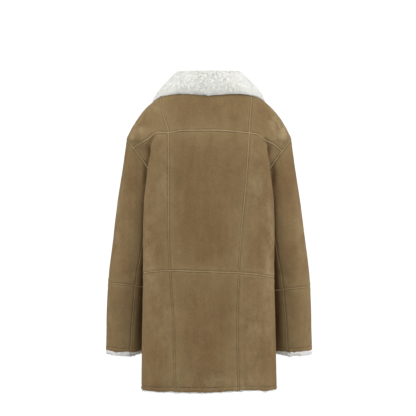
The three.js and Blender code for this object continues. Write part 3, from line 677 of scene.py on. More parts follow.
HEIGHTS = {s: dict(waist=crossing(s, waist_z), yoke=crossing(s, yoke_z), top=SEAM_TOP[s]) for s in (-1, 1)}
HEM_WOOL = 1.5
CUFF_WOOL = 9.0


def seam_across(side, z):
    return float(long_seam(side)(np.array(float(z)))[0])


def cut_back():
    """The nine pieces of the back."""
    normal = lambda a, z: body_normal(back_surface, a, z)
    low = {s: HEM_Z for s in (-1, 1)}
    waist, yoke, top = ({s: HEIGHTS[s][k] for s in (-1, 1)} for k in ("waist", "yoke", "top"))

    def piece(name, edges, sewn="lrbt", raw=None):
        panel(name, back_surface, edges, sewn, raw or {}, normal)

    def middle(z, height):
        return round_line(seam_across(-1, z[-1]), seam_across(1, z[1]), height)

    def sides(z0, z1):
        return long_line(-1, z0[-1], z1[-1]), long_line(1, z0[1], z1[1])

    hem = middle(low, flat_at(HEM_Z))
    piece("back_skirt_center", (hem, middle(waist, waist_z), *sides(low, waist)), "lrt", {"b": HEM_WOOL})
    piece("back_center", (middle(waist, waist_z), middle(yoke, yoke_z), *sides(waist, yoke)))
    collar_line = chain(
        (3, edge_line(back_surface, -2, top[-1], NECK_Z)),
        (6, straight(back_surface, (-2, NECK_Z), (2, NECK_Z))),
        (3, edge_line(back_surface, 2, NECK_Z, top[1])),
    )
    piece("back_yoke_center", (middle(yoke, yoke_z), collar_line, *sides(yoke, top)))
    for side, word in SIDES:
        edge = 2 * side
        w, y, t = waist[side], yoke[side], top[side]
        we, ye = float(waist_z(edge)), float(yoke_z(edge))
        at_waist = round_line(seam_across(side, w), edge, waist_z)
        at_yoke = round_line(seam_across(side, y), edge, yoke_z)
        at_hem = round_line(seam_across(side, HEM_Z), edge, flat_at(HEM_Z))
        skirt_side = edge_line(back_surface, edge, HEM_Z, we)
        piece(f"back_skirt_{word}", (at_hem, at_waist, long_line(side, HEM_Z, w), skirt_side), "lrt",
              {"b": HEM_WOOL})
        arm = chain((5, edge_line(back_surface, edge, we, UNDERARM[2])),
                    (7, edge_line(back_surface, edge, UNDERARM[2], ye)))
        piece(f"back_side_{word}", (at_waist, at_yoke, long_line(side, w, y), arm))
        shoulder = edge_line(back_surface, edge, t, SHOULDER_TIP[2])
        arm_top = edge_line(back_surface, edge, ye, SHOULDER_TIP[2])
        piece(f"back_yoke_{word}", (at_yoke, shoulder, long_line(side, y, t), arm_top))


def cut_fronts():
    """The four pieces of the front. The wearer's right lies over the left."""
    for side, word in SIDES:
        surface = front_surface(-side)
        normal = lambda a, z, f=surface: body_normal(f, a, z)
        side_z = float(waist_z(2 * side))
        top = HEIGHTS[side]["top"]
        waist = evenly(surface, lambda t, e=side_z: np.stack(
            [mix(-1, 1, t), mix(FRONT_WAIST_Z, e, between(t, 0.5, 1))], -1))
        panel(f"front_skirt_{word}", surface,
              (straight(surface, (-1, HEM_Z), (1, HEM_Z)), waist,
               straight(surface, (-1, HEM_Z), (-1, FRONT_WAIST_Z)), edge_line(surface, 1, HEM_Z, side_z)),
              "rt", {"b": HEM_WOOL, "l": HEM_WOOL}, normal)
        shoulder = chain((8, straight(surface, (-1, NECK_Z), (1, NECK_Z))),
                         (3, edge_line(surface, 1, NECK_Z, top)),
                         (9, edge_line(surface, 1, top, SHOULDER_TIP[2])))
        arm = chain((5, edge_line(surface, 1, side_z, UNDERARM[2])),
                    (9, edge_line(surface, 1, UNDERARM[2], SHOULDER_TIP[2])))
        panel(f"front_{word}", surface,
              (waist, shoulder, straight(surface, (-1, FRONT_WAIST_Z), (-1, NECK_Z)), arm),
              "rbt", {"l": HEM_WOOL}, normal)


def ring_line(surface, start, end, ring):
    """Part of a sleeve ring between two lengthwise seams."""
    return straight(surface, (float(start(ring)), ring), (float(end(ring)), ring))


def seam_run(seam, r0, r1):
    """A lengthwise sleeve seam between two rings."""
    return lambda v: np.stack([seam(mix(r0, r1, v)), mix(r0, r1, v)], -1)


def cut_sleeves():
    """Four pieces a sleeve: outer and under, above and below the elbow seam."""
    for side, word in SIDES:
        surface = sleeve_surface(side)
        normal = lambda t, r, s=side: sleeve_normal(s, t, r)
        hind = lambda r: column(SLEEVE_SEAMS, 1, r)
        fore = lambda r: column(SLEEVE_SEAMS, 2, r)
        for half, r0, r1, sewn, raw in (("upper", 0, ELBOW[side], "lrbt", {}),
                                        ("lower", ELBOW[side], CUFF_RING, "lrb", {"t": CUFF_WOOL})):
            for part, start, end in (("outer", fore, hind), ("under", hind, lambda r: fore(r) + 360)):
                panel(f"sleeve_{word}_{half}_{part}", surface,
                      (ring_line(surface, start, end, r0), ring_line(surface, start, end, r1),
                       seam_run(start, r0, r1), seam_run(end, r0, r1)),
                      sewn, raw, normal, f"sleeve_{half}_{part}")


def panel_points(panel, step, raw):
    """A panel's grid of points, its normals, and distances from its sewn and its raw edges. With
    raw, the grid stops short of each raw edge by the wool that shows there."""
    edges, surface = panel["edges"], panel["surface"]
    t = np.linspace(0, 1, 90)
    bottom, top, left, right = (steps_of(surface(*e(t).T)).sum() for e in edges)
    width, height = (bottom + top) / 2, (left + right) / 2
    u, v = spread(width, step), spread(height, step)
    if raw:
        cut = {k: panel["raw"].get(k, 0) for k in "lrbt"}
        u = cut["l"] / width + u * (1 - (cut["l"] + cut["r"]) / width)
        v = cut["b"] / height + v * (1 - (cut["b"] + cut["t"]) / height)
    d = fill(edges, u, v)
    p = surface(d[..., 0], d[..., 1])
    n = panel["normal"](d[..., 0], d[..., 1])
    own = unit(np.cross(np.gradient(p, axis=1), np.gradient(p, axis=0)), 1e-9)
    own *= np.sign(np.sum(own * n, -1, keepdims=True).mean())
    n = np.where(np.sum(own * n, -1, keepdims=True) > 0.9, mix(n, own, 0.5), own)
    for _ in range(8):
        q = np.pad(n, ((1, 1), (1, 1), (0, 0)), "edge")
        n = (q[:-2, 1:-1] + q[2:, 1:-1] + q[1:-1, :-2] + q[1:-1, 2:] + 2 * n) / 6
    n = unit(n)
    rows, cols = along(p, 1), along(p, 0)
    from_edge = {"l": rows, "r": rows[:, -1:] - rows, "b": cols, "t": cols[-1:] - cols}
    far = np.full(p.shape[:2], 999.0)
    sewn = np.minimum.reduce([far] + [from_edge[k] for k in panel["sewn"]])
    cut = np.minimum.reduce([far] + [from_edge[k] for k in panel["raw"]])
    return p, n, sewn, cut, from_edge


# How far the back's hem departs from level: x, rise.
HEM_DIPS = np.array([
    (-189, 5), (-160, 0), (-144, 3), (-86, 3), (-74, 2), (0, -3.5), (60, -3), (107, 0), (139, -2), (189, 3),
], float)


def hem_dip(p):
    """Rise and fall of the back's hem, from its table against x, fading out above it."""
    near = np.exp(-((p[..., 2] - HEM_Z) / 26))
    return np.interp(p[..., 0], HEM_DIPS[:, 0], HEM_DIPS[:, 1]) * near * (p[..., 1] > 0)


# Painted shade in the stitch grooves along each edge, by the start of the cut's name: how dark it is, heavier
# below the yoke and waist seams than above them, and heavy beside the armholes, where shade falls.
PAINTED_GROOVE_SHADE_LEVELS = (
    ("sleeve_upper", dict(l=0.45, r=0.45, t=0.25, b=0.8)),
    ("sleeve_lower", dict(l=0.5, r=0.5, t=0.5, b=0.25)),
    ("front", dict(l=0.6, r=0.6, t=0.6, b=0.6)),
    ("back_yoke_center", dict(l=0.4, r=0.4, t=0.6, b=0.3)),
    ("back_yoke", dict(l=0.4, r=0.9, t=0.6, b=0.3)),
    ("back_skirt_center", dict(l=0.2, r=0.25, t=0.6, b=0.5)),
    ("back_skirt", dict(l=0.25, r=0.5, t=0.6, b=0.5)),
    ("back_center", dict(l=0.3, r=0.35, t=1.0, b=0.25)),
    ("back_side", dict(l=0.3, r=0.9, t=1.0, b=0.25)),
)


def painted_groove_shade(panel, from_edge):
    """How dark the painted shade in a panel's stitch grooves is at each point, from the sewn edge nearest to
    it.
    """
    levels = next(row for start, row in PAINTED_GROOVE_SHADE_LEVELS if panel["cut"].startswith(start))
    near = np.argmin(np.stack([from_edge[k] for k in panel["sewn"]]), 0)
    return np.array([levels[k] for k in panel["sewn"]])[near]


def make_skin(panel, suede, cut_edge, wool):
    """A panel as a closed skin: suede face, the hide's cut edge, the wool's outer side as far as it
    shows, its end, and the inner face. Where an edge is sewn, its sides look like cut hide."""
    po, no, sewn, raw, from_edge = panel_points(panel, SKIN_STEP, True)
    pi, ni, _, bare, _ = panel_points(panel, SKIN_STEP, False)
    ragged = 2.5 if "t" in panel["raw"] else 1.0
    wave = ragged * np.exp(-raw / 5) * (0.8 * lumps(po, 7, 11) + 0.9 * lumps(po, 23, 12))
    face = po + no * (hang(po) + seam_relief(sewn) + hem_relief(raw))[..., None]
    face[..., 2] += wave * (raw < 60) + hem_dip(po)
    under = face - no * HIDE
    hung = pi + ni * hang(pi)[..., None]
    locks = 1.1 * lumps(pi, 5, 13) + 0.8 * lumps(pi, 13, 14)
    hung[..., 2] += hem_dip(pi) + ragged * np.exp(-bare / 4) * locks * (bare < 60)
    end = hung - ni * 2.6
    inner = hung - ni * (BODY_WALL - 0.6 * lumps(pi, 6, 21) - 0.4 * lumps(pi, 3, 22))[..., None]
    nv, nu = face.shape[:2]
    loop = rim_loop(nv, nu)
    rings = [ring.reshape(-1, 3)[loop] for ring in (under, end)]
    verts = np.concatenate([face.reshape(-1, 3), *rings, inner.reshape(-1, 3)])
    count, ring = nv * nu, len(loop)
    levels = [loop, count + np.arange(ring), count + ring + np.arange(ring), count + 2 * ring + loop]
    walls = [np.stack([np.roll(a, -1), a, b, np.roll(b, -1)], 1) for a, b in zip(levels, levels[1:])]
    outer, back = grid_quads(nv, nu), grid_quads(nv, nu, count + 2 * ring)[:, ::-1]
    faces = turned_out(verts, np.concatenate([outer, *walls, back]))
    bare_rim = np.repeat([k in panel["raw"] for k in "brtl"], [nu - 1, nv - 1, nu - 1, nv - 1])
    side_slots = np.where(bare_rim, 2, 1)
    slots = np.r_[0 * outer[:, 0], np.ones(ring, int), side_slots, side_slots, 0 * back[:, 0] + 2]
    rest = len(verts) - count
    # The fourth value is painted shade: how far the hide is darkened behind the folds and under the arms.
    given = {"seam": (sewn, 50.0), "cut": (raw, 50.0), "worn": (worn(po), 0.0), "pressed": (pressed(po), 0.0),
             # The last value: how dark the painted shade in the stitch grooves is.
             "line": (painted_groove_shade(panel, from_edge), 1.0)}
    values = {key: np.r_[on_face.ravel(), np.full(rest, off)] for key, (on_face, off) in given.items()}
    ob = add_mesh(panel["name"] + "_skin", verts, faces, [suede, cut_edge, wool], slots, values)
    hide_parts(panel["name"])
    return ob


def strip(lines, profile):
    """Profile (side, height) carried along lines of (points, normals): one grid for each line."""
    verts, faces, base = [], [], 0
    for p, n in lines:
        side = np.cross(n, unit(np.gradient(p, axis=0)))
        wide = 1 + 0.16 * lumps(p, 14, 31)
        tall = 1 + 0.3 * lumps(p, 9, 32)
        grid = p[:, None] + side[:, None] * (profile[:, 0] * wide[:, None])[..., None]
        grid = grid + n[:, None] * (profile[:, 1] * tall[:, None])[..., None]
        verts.append(grid.reshape(-1, 3))
        faces.append(grid_quads(len(p), len(profile), base))
        base += grid.shape[0] * grid.shape[1]
    return np.concatenate(verts), np.concatenate(faces)


def resample(p, n, step):
    """A line's points and normals at even steps."""
    run = np.r_[0, np.cumsum(steps_of(p))]
    s = np.linspace(0, run[-1], max(int(round(run[-1] / step)), 2) + 1)
    q = np.stack([np.interp(s, run, p[:, k]) for k in range(3)], -1)
    m = np.stack([np.interp(s, run, n[:, k]) for k in range(3)], -1)
    return q, unit(m)


def seam_lines():
    """Every sewn line as points and normals, joined normals where two surfaces meet."""
    t = np.linspace(0, 1, 500)
    lines = []

    def on_back(line):
        d = line(t)
        lines.append((back_surface(*d.T), body_normal(back_surface, *d.T)))

    for side in (-1, 1):
        on_back(long_line(side, HEM_Z + HEM_WOOL, HEIGHTS[side]["top"]))
    on_back(round_line(-2, 2, yoke_z))
    on_back(round_line(-2, 2, waist_z))
    for side in (-1, 1):
        front = front_surface(-side)
        end = float(waist_z(2 * side))
        d = np.stack([mix(-1, 1, t), mix(FRONT_WAIST_Z, end, between(t, 0.5, 1))], -1)
        lines.append((front(*d.T), body_normal(front, *d.T)))
        for z0, z1 in ((HEM_Z + HEM_WOOL, UNDERARM[2]), (SHOULDER_TIP[2], NECK_Z)):
            z = mix(z0, z1, t)
            p = back_surface(2 * side, z)
            run = np.gradient(p, axis=0)
            n = np.cross(run, (0, 1, 0))
            n *= np.sign(n[:, :1] * side + 1e-9)
            lines.append((p, unit(n)))
        turn = mix(-179.5, 179.5, t)
        z = mix(UNDERARM[2], SHOULDER_TIP[2], (1 + np.cos(np.radians(turn))) / 2)
        p = sleeve_surface(side)(turn, 0.0)
        behind, before = body_normal(back_surface, 2 * side + 0 * z, z), body_normal(front, 1 + 0 * z, z)
        body = np.where((turn > 0)[:, None], behind, before)
        n = sleeve_normal(side, turn, 0.01 + 0 * turn) + body
        lines.append((p, unit(n)))
        ring = mix(0.0, CUFF_RING - (CUFF_WOOL + 1) / 96, t)
        for k in (1, 2):
            a = column(SLEEVE_SEAMS, k, ring)
            n = sleeve_normal(side, a, np.clip(ring, 0.01, CUFF_RING - 0.01))
            lines.append((sleeve_surface(side)(a, ring), n))
        turn = mix(0.0, 360.0, t)
        ring = ELBOW[side] + 0 * turn
        lines.append((sleeve_surface(side)(turn, ring), sleeve_normal(side, turn, ring)))
    return [resample(p + n * (hang(p) - 0.2)[:, None], n, LINE_STEP) for p, n in lines]


def lap_tones():
    """How little each sewn line stands out, in the order of seam_lines: 0 for a pale lap, 1 for one
    as dark as the hide. The long back seams fade downwards, and the sleeves' own seams are faint."""
    down = lambda p: mix(0.9, 0.4, between(p[:, 2], -520, -180))
    level = lambda value: lambda p: np.full(len(p), value)
    back = [down, down, level(0.1), level(0.45)]
    side = [level(0.3), level(0.4), level(0.3), level(0.05), level(0.7), level(0.8), level(0.62)]
    return back + side + side


LAP_PROFILE = np.array([
    (-1.9, -0.7), (-1.6, 0.1), (-1.0, 0.5), (-0.3, 0.65), (0.4, 0.6), (1.1, 0.45), (1.6, 0.0), (1.9, -0.7),
])


def stitch_row(p, n, sideways, sink):
    """Middles, directions and normals of the stitches of one row beside a line."""
    q, m = resample(p, n, STITCH_PITCH)
    tangent = unit(np.gradient(q, axis=0))
    side = np.cross(m, tangent)
    return q + side * sideways + m * sink, tangent, m


def stitches(rows, length, radius):
    """Short threads: a four-sided spindle of three rings and two tips at each stitch."""
    at, tangent, up = (np.concatenate(x) for x in zip(*rows))
    side = np.cross(up, tangent)
    along_it = np.array([-0.36, 0.0, 0.36]) * length
    fat = np.array([0.85, 1.0, 0.85]) * radius
    angle = np.arange(4) * np.pi / 2 + np.pi / 4
    c, s = (f(angle)[None, None, :, None] for f in (np.cos, np.sin))
    round_it = (side[:, None, None] * c + up[:, None, None] * s) * fat[None, :, None, None]
    rings = at[:, None, None] + tangent[:, None, None] * along_it[None, :, None, None] + round_it
    tips = at[:, None] + tangent[:, None] * np.array([-0.5, 0.5])[None, :, None] * length
    tips = tips - up[:, None] * radius * 1.2
    verts = np.concatenate([rings.reshape(len(at), 12, 3), tips], 1)
    k = np.arange(4)
    k2 = (k + 1) % 4
    quads = np.concatenate([np.stack([r + k, r + k2, r + 4 + k2, r + 4 + k], 1) for r in (0, 4)])
    caps = np.concatenate([
        np.stack([0 * k + 12, k2, k, k], 1)[:, :3],
        np.stack([0 * k + 13, 8 + k, 8 + k2, k], 1)[:, :3],
    ])
    base = (np.arange(len(at)) * 14)[:, None, None]
    return verts.reshape(-1, 3), (quads[None] + base).reshape(-1, 4), (caps[None] + base).reshape(-1, 3)


def tufts(at, way, length, radius, seed):
    """Locks of wool: three-sided spikes from their roots to a bent tip."""
    rng = np.random.default_rng(seed)
    n = len(at)
    a = unit(np.cross(way, rng.normal(size=(n, 3))), 1e-9)
    b = np.cross(way, a)
    r = radius * rng.uniform(0.7, 1.3, (n, 1))
    long = length * rng.uniform(0.6, 1.25, (n, 1))
    bend = (a * rng.normal(0, 0.3, (n, 1)) + b * rng.normal(0, 0.3, (n, 1))) * long
    roots = [at + (a * math.cos(w) + b * math.sin(w)) * r - way * 0.6 for w in (0, 2.0944, 4.1888)]
    verts = np.stack(roots + [at + way * long + bend], 1).reshape(-1, 3)
    base = (np.arange(n) * 4)[:, None, None]
    tris = np.array([[0, 1, 3], [1, 2, 3], [2, 0, 3], [0, 2, 1]])
    return verts, (tris[None] + base).reshape(-1, 3)


def collar_surface(turn, fall):
    """Skin side of the collar at arrays of turns and falls: a straight stand (0 to 1), half a round
    roll (1 to 2) and a leaf (2 to 3) that bows out a little and ends just above the body."""
    a = np.abs(turn)
    side = np.where(turn < 0, -1.0, 1.0)
    share = np.sin(np.radians(a))
    front = a > 90
    roll = np.stack([
        side * ROLL["half"] * share,
        np.where(front, ROLL["y"] - (ROLL["front"] + ROLL["y"]) * quarter(share, FRONT_ROUND),
                 ROLL["y"] + (ROLL["back"] - ROLL["y"]) * quarter(share, BACK_ROUND)),
        ROLL["top"] - np.where(front, ROLL["drop"] * (1 - share**2), 0),
    ], -1)
    width = float(column(BODY, 1, NECK_Z))
    from_middle = side * np.minimum(width * share, width - 1e-6)
    neck_back = back_surface(across_at(from_middle, NECK_Z + 0 * a), NECK_Z)
    neck_left, neck_right = (front_surface(layer)((180 - a) / 90, NECK_Z) for layer in (-1, 1))
    neck_front = np.where((side > 0)[:, None], neck_left, neck_right)
    base = np.where(front[:, None], neck_front, neck_back) + (0, 0, NECK_GAP)
    away = np.where(front, -1, 1) * np.sqrt(1 - share**2) * ROLL["half"]
    out = unit(np.stack([side * share * ROLL["back"], away, 0 * a], -1))
    centre = roll + ROLL["radius"] * out
    leaf = np.where(front, 90 + (a - 90) * (COLLAR_POINT - 90) / (COLLAR_END - 90), a)
    z = column(COLLAR, 1, a)
    x = section_edge(z, 1)[0] * np.sin(np.radians(leaf))
    on_front = front_surface(1)
    d_front, d_back = (180 - leaf) / 90, across_at(side * x, z)
    edge = np.where(front[:, None], on_front(d_front, z), back_surface(d_back, z))
    lift = np.where(front[:, None], body_normal(on_front, d_front, z), body_normal(back_surface, d_back, z))
    edge = edge + LEAF_LIFT * lift
    edge[:, 0] = side * np.abs(edge[:, 0])
    down = unit(edge - centre)
    up = np.array([0, 0, 1.0])
    lean = unit(up - down * down[:, 2:])
    flat = unit(lean * (1, 1, 0))
    f = fall[:, None, None]
    stand = base + (roll - base) * np.clip(f, 0, 1)
    angle = (np.pi / 2 + np.arccos(lean[:, 2]))[None, :, None] * np.clip(f - 1, 0, 1)
    level = np.where(angle < np.pi / 2, -out, flat)
    arc = centre + ROLL["radius"] * (level * np.abs(np.cos(angle)) + up * np.sin(angle))
    t = np.clip(f - 2, 0, 1)
    start = centre + ROLL["radius"] * lean
    bow = column(COLLAR, 2, a)[None, :, None] * np.sin(np.pi * t) * (1 - 0.35 * t)
    fallen = start + (edge - start) * t + lean * bow
    return np.where(f <= 1, stand, np.where(f <= 2, arc, fallen)), centre - (0, 0, 12.0)


def collar_points(step):
    """The collar's grid: skin side, wool side and normals, and its falls."""
    turns = np.linspace(-COLLAR_END, COLLAR_END, int(700 / step))
    falls = np.r_[np.linspace(0, 1, int(36 / step), endpoint=False),
                  np.linspace(1, 2, 14, endpoint=False), np.linspace(2, 3, int(96 / step))]
    skin, core = collar_surface(turns, falls)
    n = outward(skin, core[None])
    tip = np.maximum(0, (falls - 2.6) / 0.4)
    thick = COLLAR_WALL * np.sqrt(1 - 0.85 * tip**2) * mix(0.75, 1, np.minimum(falls, 1))
    end = np.minimum(1, (COLLAR_END - np.abs(turns)) / 4)
    thick = thick[:, None] * np.sqrt(mix(0.25, 1, end))[None]
    return skin, skin + n * thick[..., None], n, turns, falls


# Materials.


def nodes_of(name):
    """A new material, its node tree and its shader."""
    material = bpy.data.materials.new(name)
    material.use_nodes = True
    tree = material.node_tree
    return material, tree, tree.nodes["Principled BSDF"]


def noise(tree, scale, detail=3.0, rough=0.55, stretch=(1, 1, 1)):
    """Noise on Object coordinates, stretched by a Mapping node."""
    coords = tree.nodes.new("ShaderNodeTexCoord")
    mapping = tree.nodes.new("ShaderNodeMapping")
    mapping.inputs["Scale"].default_value = stretch
    texture = tree.nodes.new("ShaderNodeTexNoise")
    texture.inputs["Scale"].default_value = scale
    texture.inputs["Detail"].default_value = detail
    texture.inputs["Roughness"].default_value = rough
    tree.links.new(coords.outputs["Object"], mapping.inputs["Vector"])
    tree.links.new(mapping.outputs["Vector"], texture.inputs["Vector"])
    return texture.outputs["Fac"]


def ramp(tree, value, *stops):
    """A colour ramp of (place, colour) stops."""
    node = tree.nodes.new("ShaderNodeValToRGB")
    tree.links.new(value, node.inputs["Fac"])
    elements = node.color_ramp.elements
    while len(elements) < len(stops):
        elements.new(0.5)
    for element, (place, colour) in zip(elements, stops):
        element.position = place
        element.color = (*colour, 1) if len(colour) == 3 else colour
    return node.outputs["Color"]


def grey(v):
    return (v, v, v)


def mottle(tree, texture, low, high):
    """Noise as a grey between two stops of (place, brightness)."""
    return ramp(tree, noise(tree, *texture), (low[0], grey(low[1])), (high[0], grey(high[1])))


def finish(shader, **values):
    """Sets inputs of a shader, their names written with _ for a space."""
    for key, value in values.items():
        shader.inputs[key.replace("_", " ")].default_value = value


def blend(tree, how, factor, a, b):
    """Mix of two colours; factor is a number or a socket."""
    node = tree.nodes.new("ShaderNodeMix")
    node.data_type = "RGBA"
    node.blend_type = how
    node.clamp_factor = True
    for socket, given in ((node.inputs["Factor"], factor), (node.inputs[6], a), (node.inputs[7], b)):
        if isinstance(given, (int, float)):
            socket.default_value = given
        elif isinstance(given, tuple):
            socket.default_value = (*given, 1)
        else:
            tree.links.new(given, socket)
    return node.outputs[2]


def attribute(tree, name, low, high):
    """A point attribute mapped from low..high to 0..1."""
    node = tree.nodes.new("ShaderNodeAttribute")
    node.attribute_name = name
    span = tree.nodes.new("ShaderNodeMapRange")
    span.inputs["From Min"].default_value = low
    span.inputs["From Max"].default_value = high
    tree.links.new(node.outputs["Fac"], span.inputs["Value"])
    return span.outputs["Result"]


def bump(tree, shader, *layers):
    """Bump nodes one on another: (height, distance in metres, strength)."""
    last = None
    for height, distance, strength in layers:
        node = tree.nodes.new("ShaderNodeBump")
        node.inputs["Distance"].default_value = distance
        node.inputs["Strength"].default_value = strength
        tree.links.new(height, node.inputs["Height"])
        if last is not None:
            tree.links.new(last, node.inputs["Normal"])
        last = node.outputs["Normal"]
    tree.links.new(last, shader.inputs["Normal"])


def linear(r, g, b):
    """A colour measured 0 to 255, as linear light."""
    v = np.array([r, g, b]) / 255
    v = np.where(v <= 0.04045, v / 12.92, ((v + 0.055) / 1.055) ** 2.4)
    return tuple(float(x) for x in v)


def suede_material(name, pale, warm, drawn=True):
    """Napped hide: pale beside the seams and warmer in the middle of each piece, broad and small mottling,
    faint streaks down it, patches rubbed pale, a fine grain, painted shade behind the folds and under the
    arms, and painted shade in the stitch grooves at seams and edges."""
    material, tree, shader = nodes_of(name)
    if drawn:
        from_seam = ((0.0, 0.0), (0.35, 0.55), (1.0, 1.0))
        inner = ramp(tree, attribute(tree, "seam", 4, 60), *((at, grey(v)) for at, v in from_seam))
    else:
        inner = attribute(tree, "faint", 0, 1)
    patches = mottle(tree, (9, 3, 0.6, (1, 1, 0.75)), (0.36, 0.0), (0.64, 1.0))
    place = blend(tree, "MIX", 0.48 if drawn else 0.15, inner, patches)
    colour = blend(tree, "MIX", place, pale, warm)
    middling = mottle(tree, (46, 4, 0.62, (1, 1, 0.8)), (0.3, 0.44), (0.7, 0.56))
    colour = blend(tree, "OVERLAY", 0.6, colour, middling)
    streaks = mottle(tree, (75, 3, 0.5, (1, 1, 0.1)), (0.32, 0.465), (0.68, 0.535))
    colour = blend(tree, "OVERLAY", 0.6, colour, streaks)
    if drawn:
        rubbed = mottle(tree, (34, 5, 0.7, (1, 1, 0.7)), (0.4, 0.0), (0.62, 1.0))
        rubbed = blend(tree, "MULTIPLY", 1.0, rubbed, attribute(tree, "worn", 0, 1))
        colour = blend(tree, "MIX", rubbed, colour, linear(146, 129, 97))
        # Painted shade: the hide is darkened behind the folds and in the gap between sleeve and body, where
        # shade falls.
        colour = blend(tree, "MULTIPLY", attribute(tree, "pressed", 0, 1.0), colour, linear(176, 160, 146))
    grain = mottle(tree, (300, 4, 0.75), (0.3, 0.36), (0.7, 0.64))
    colour = blend(tree, "OVERLAY", 0.62, colour, grain)
    if drawn:
        # Painted shade: the hide is darkened under each lap's edge and in the stitch grooves beside seams and
        # raw edges, standing in for the grooves' shade, by as much as each edge's level asks.
        groove_shade_by_seam = ((0.0, 0.6), (0.1, 0.42), (0.16, 0.28), (0.24, 0.8), (0.34, 1.0))
        groove_shade_by_cut = ((0.0, 1.0), (0.43, 0.97), (0.5, 0.4), (0.57, 0.98))
        dark = ramp(tree, attribute(tree, "seam", 0, 16), *((at, grey(v)) for at, v in groove_shade_by_seam))
        edge = ramp(tree, attribute(tree, "cut", 0, 24), *((at, grey(v)) for at, v in groove_shade_by_cut))
        uneven = mottle(tree, (70, 3, 0.6), (0.35, 0.3), (0.62, 1.0))
        uneven_groove_shade = blend(tree, "MULTIPLY", 1.0, uneven, attribute(tree, "line", 0, 1))
        colour = blend(tree, "MULTIPLY", uneven_groove_shade, colour, dark)
        colour = blend(tree, "MULTIPLY", uneven, colour, edge)
    tree.links.new(colour, shader.inputs["Base Color"])
    finish(shader, Roughness=0.95, Specular_IOR_Level=0.12, Sheen_Weight=0.16, Sheen_Roughness=0.5,
           Sheen_Tint=(*linear(185, 160, 112), 1))
    bump(tree, shader, (noise(tree, 900, 4, 0.7), 0.0005, 0.3), (noise(tree, 200, 4, 0.7), 0.0012, 0.3))
    return material


def wool_material(name, pale, deep):
    """Dense curled wool: bright locks with small shadows between them."""
    material, tree, shader = nodes_of(name)
    cells = tree.nodes.new("ShaderNodeTexVoronoi")
    coords = tree.nodes.new("ShaderNodeTexCoord")
    cells.inputs["Scale"].default_value = 300
    tree.links.new(coords.outputs["Object"], cells.inputs["Vector"])
    locks = ramp(tree, cells.outputs["Distance"], (0.2, pale), (0.7, pale), (1.0, deep))
    shade = mottle(tree, (60, 4, 0.6), (0.3, 0.47), (0.68, 0.53))
    colour = blend(tree, "OVERLAY", 0.6, locks, shade)
    specks = mottle(tree, (260, 2, 0.5), (0.68, 1.0), (0.76, 0.7))
    colour = blend(tree, "MULTIPLY", 0.4, colour, specks)
    tree.links.new(colour, shader.inputs["Base Color"])
    finish(shader, Roughness=1.0, Specular_IOR_Level=0.1, Sheen_Weight=0.9, Sheen_Roughness=0.6)
    bump(tree, shader, (cells.outputs["Distance"], 0.0012, -0.4), (noise(tree, 420, 4, 0.7), 0.0008, 0.4))
    return material


def plain_material(name, colour, rough, spread_of=0.12, scale=400.0):
    """A finish with slight uneven colour, for thread and horn."""
    material, tree, shader = nodes_of(name)
    low, high = (tuple(c * (1 + change) for c in colour) for change in (-spread_of, spread_of))
    uneven = ramp(tree, noise(tree, scale, 3, 0.6), (0.3, low), (0.7, high))
    tree.links.new(uneven, shader.inputs["Base Color"])
    finish(shader, Roughness=rough)
    bump(tree, shader, (noise(tree, scale * 2, 2, 0.5), 0.0004, 0.3))
    return material


suede = suede_material("suede", linear(122, 104, 73), linear(108, 86, 58))
lap_suede = suede_material("lap_suede", linear(148, 129, 97), linear(115, 94, 64), False)
cut_edge = suede_material("cut_edge", linear(165, 148, 114), linear(152, 130, 94), False)
wool = wool_material("wool", linear(252, 251, 247), linear(238, 236, 228))
collar_wool = wool_material("collar_wool", linear(214, 214, 208), linear(182, 181, 174))
thread = plain_material("thread", linear(84, 66, 42), 0.8)
hide_edge = plain_material("hide_edge", linear(92, 70, 46), 0.9, 0.3, 260.0)
horn = plain_material("horn", linear(74, 52, 34), 0.45, 0.35, 120.0)

cut_back()
cut_fronts()
cut_sleeves()
skins = {p["name"]: make_skin(p, suede, cut_edge, wool) for p in PANELS}

lines = seam_lines()
band_verts, band_faces = strip(lines, LAP_PROFILE)
tones = [np.repeat(tone(p), len(LAP_PROFILE)) for (p, _), tone in zip(lines, lap_tones())]
bands = add_mesh("seam_laps", band_verts, band_faces, [lap_suede], values={"faint": np.concatenate(tones)})

rows = [stitch_row(p, n, at, -0.6) for p, n in lines for at in (-STITCH_SIDE, STITCH_SIDE)]
for p in PANELS:
    if not p["raw"]:
        continue
    po, no, _, raw, from_edge = panel_points(p, SKIN_STEP, True)
    for key in p["raw"]:
        off = np.abs(from_edge[key] - HEM_STITCH)
        if key in "bt":
            at = np.argsort(off, axis=0)[0], np.arange(po.shape[1])
        else:
            at = np.arange(po.shape[0]), np.argsort(off, axis=1)[:, 0]
        q, m = po[at], no[at]
        rows.append(stitch_row(q + m * hang(q)[:, None], m, 0.0, -0.45))
sv, sq, st = stitches(rows, STITCH_LENGTH, STITCH_RADIUS)
seam_thread = add_mesh("seam_thread", sv, (sq, st), [thread])

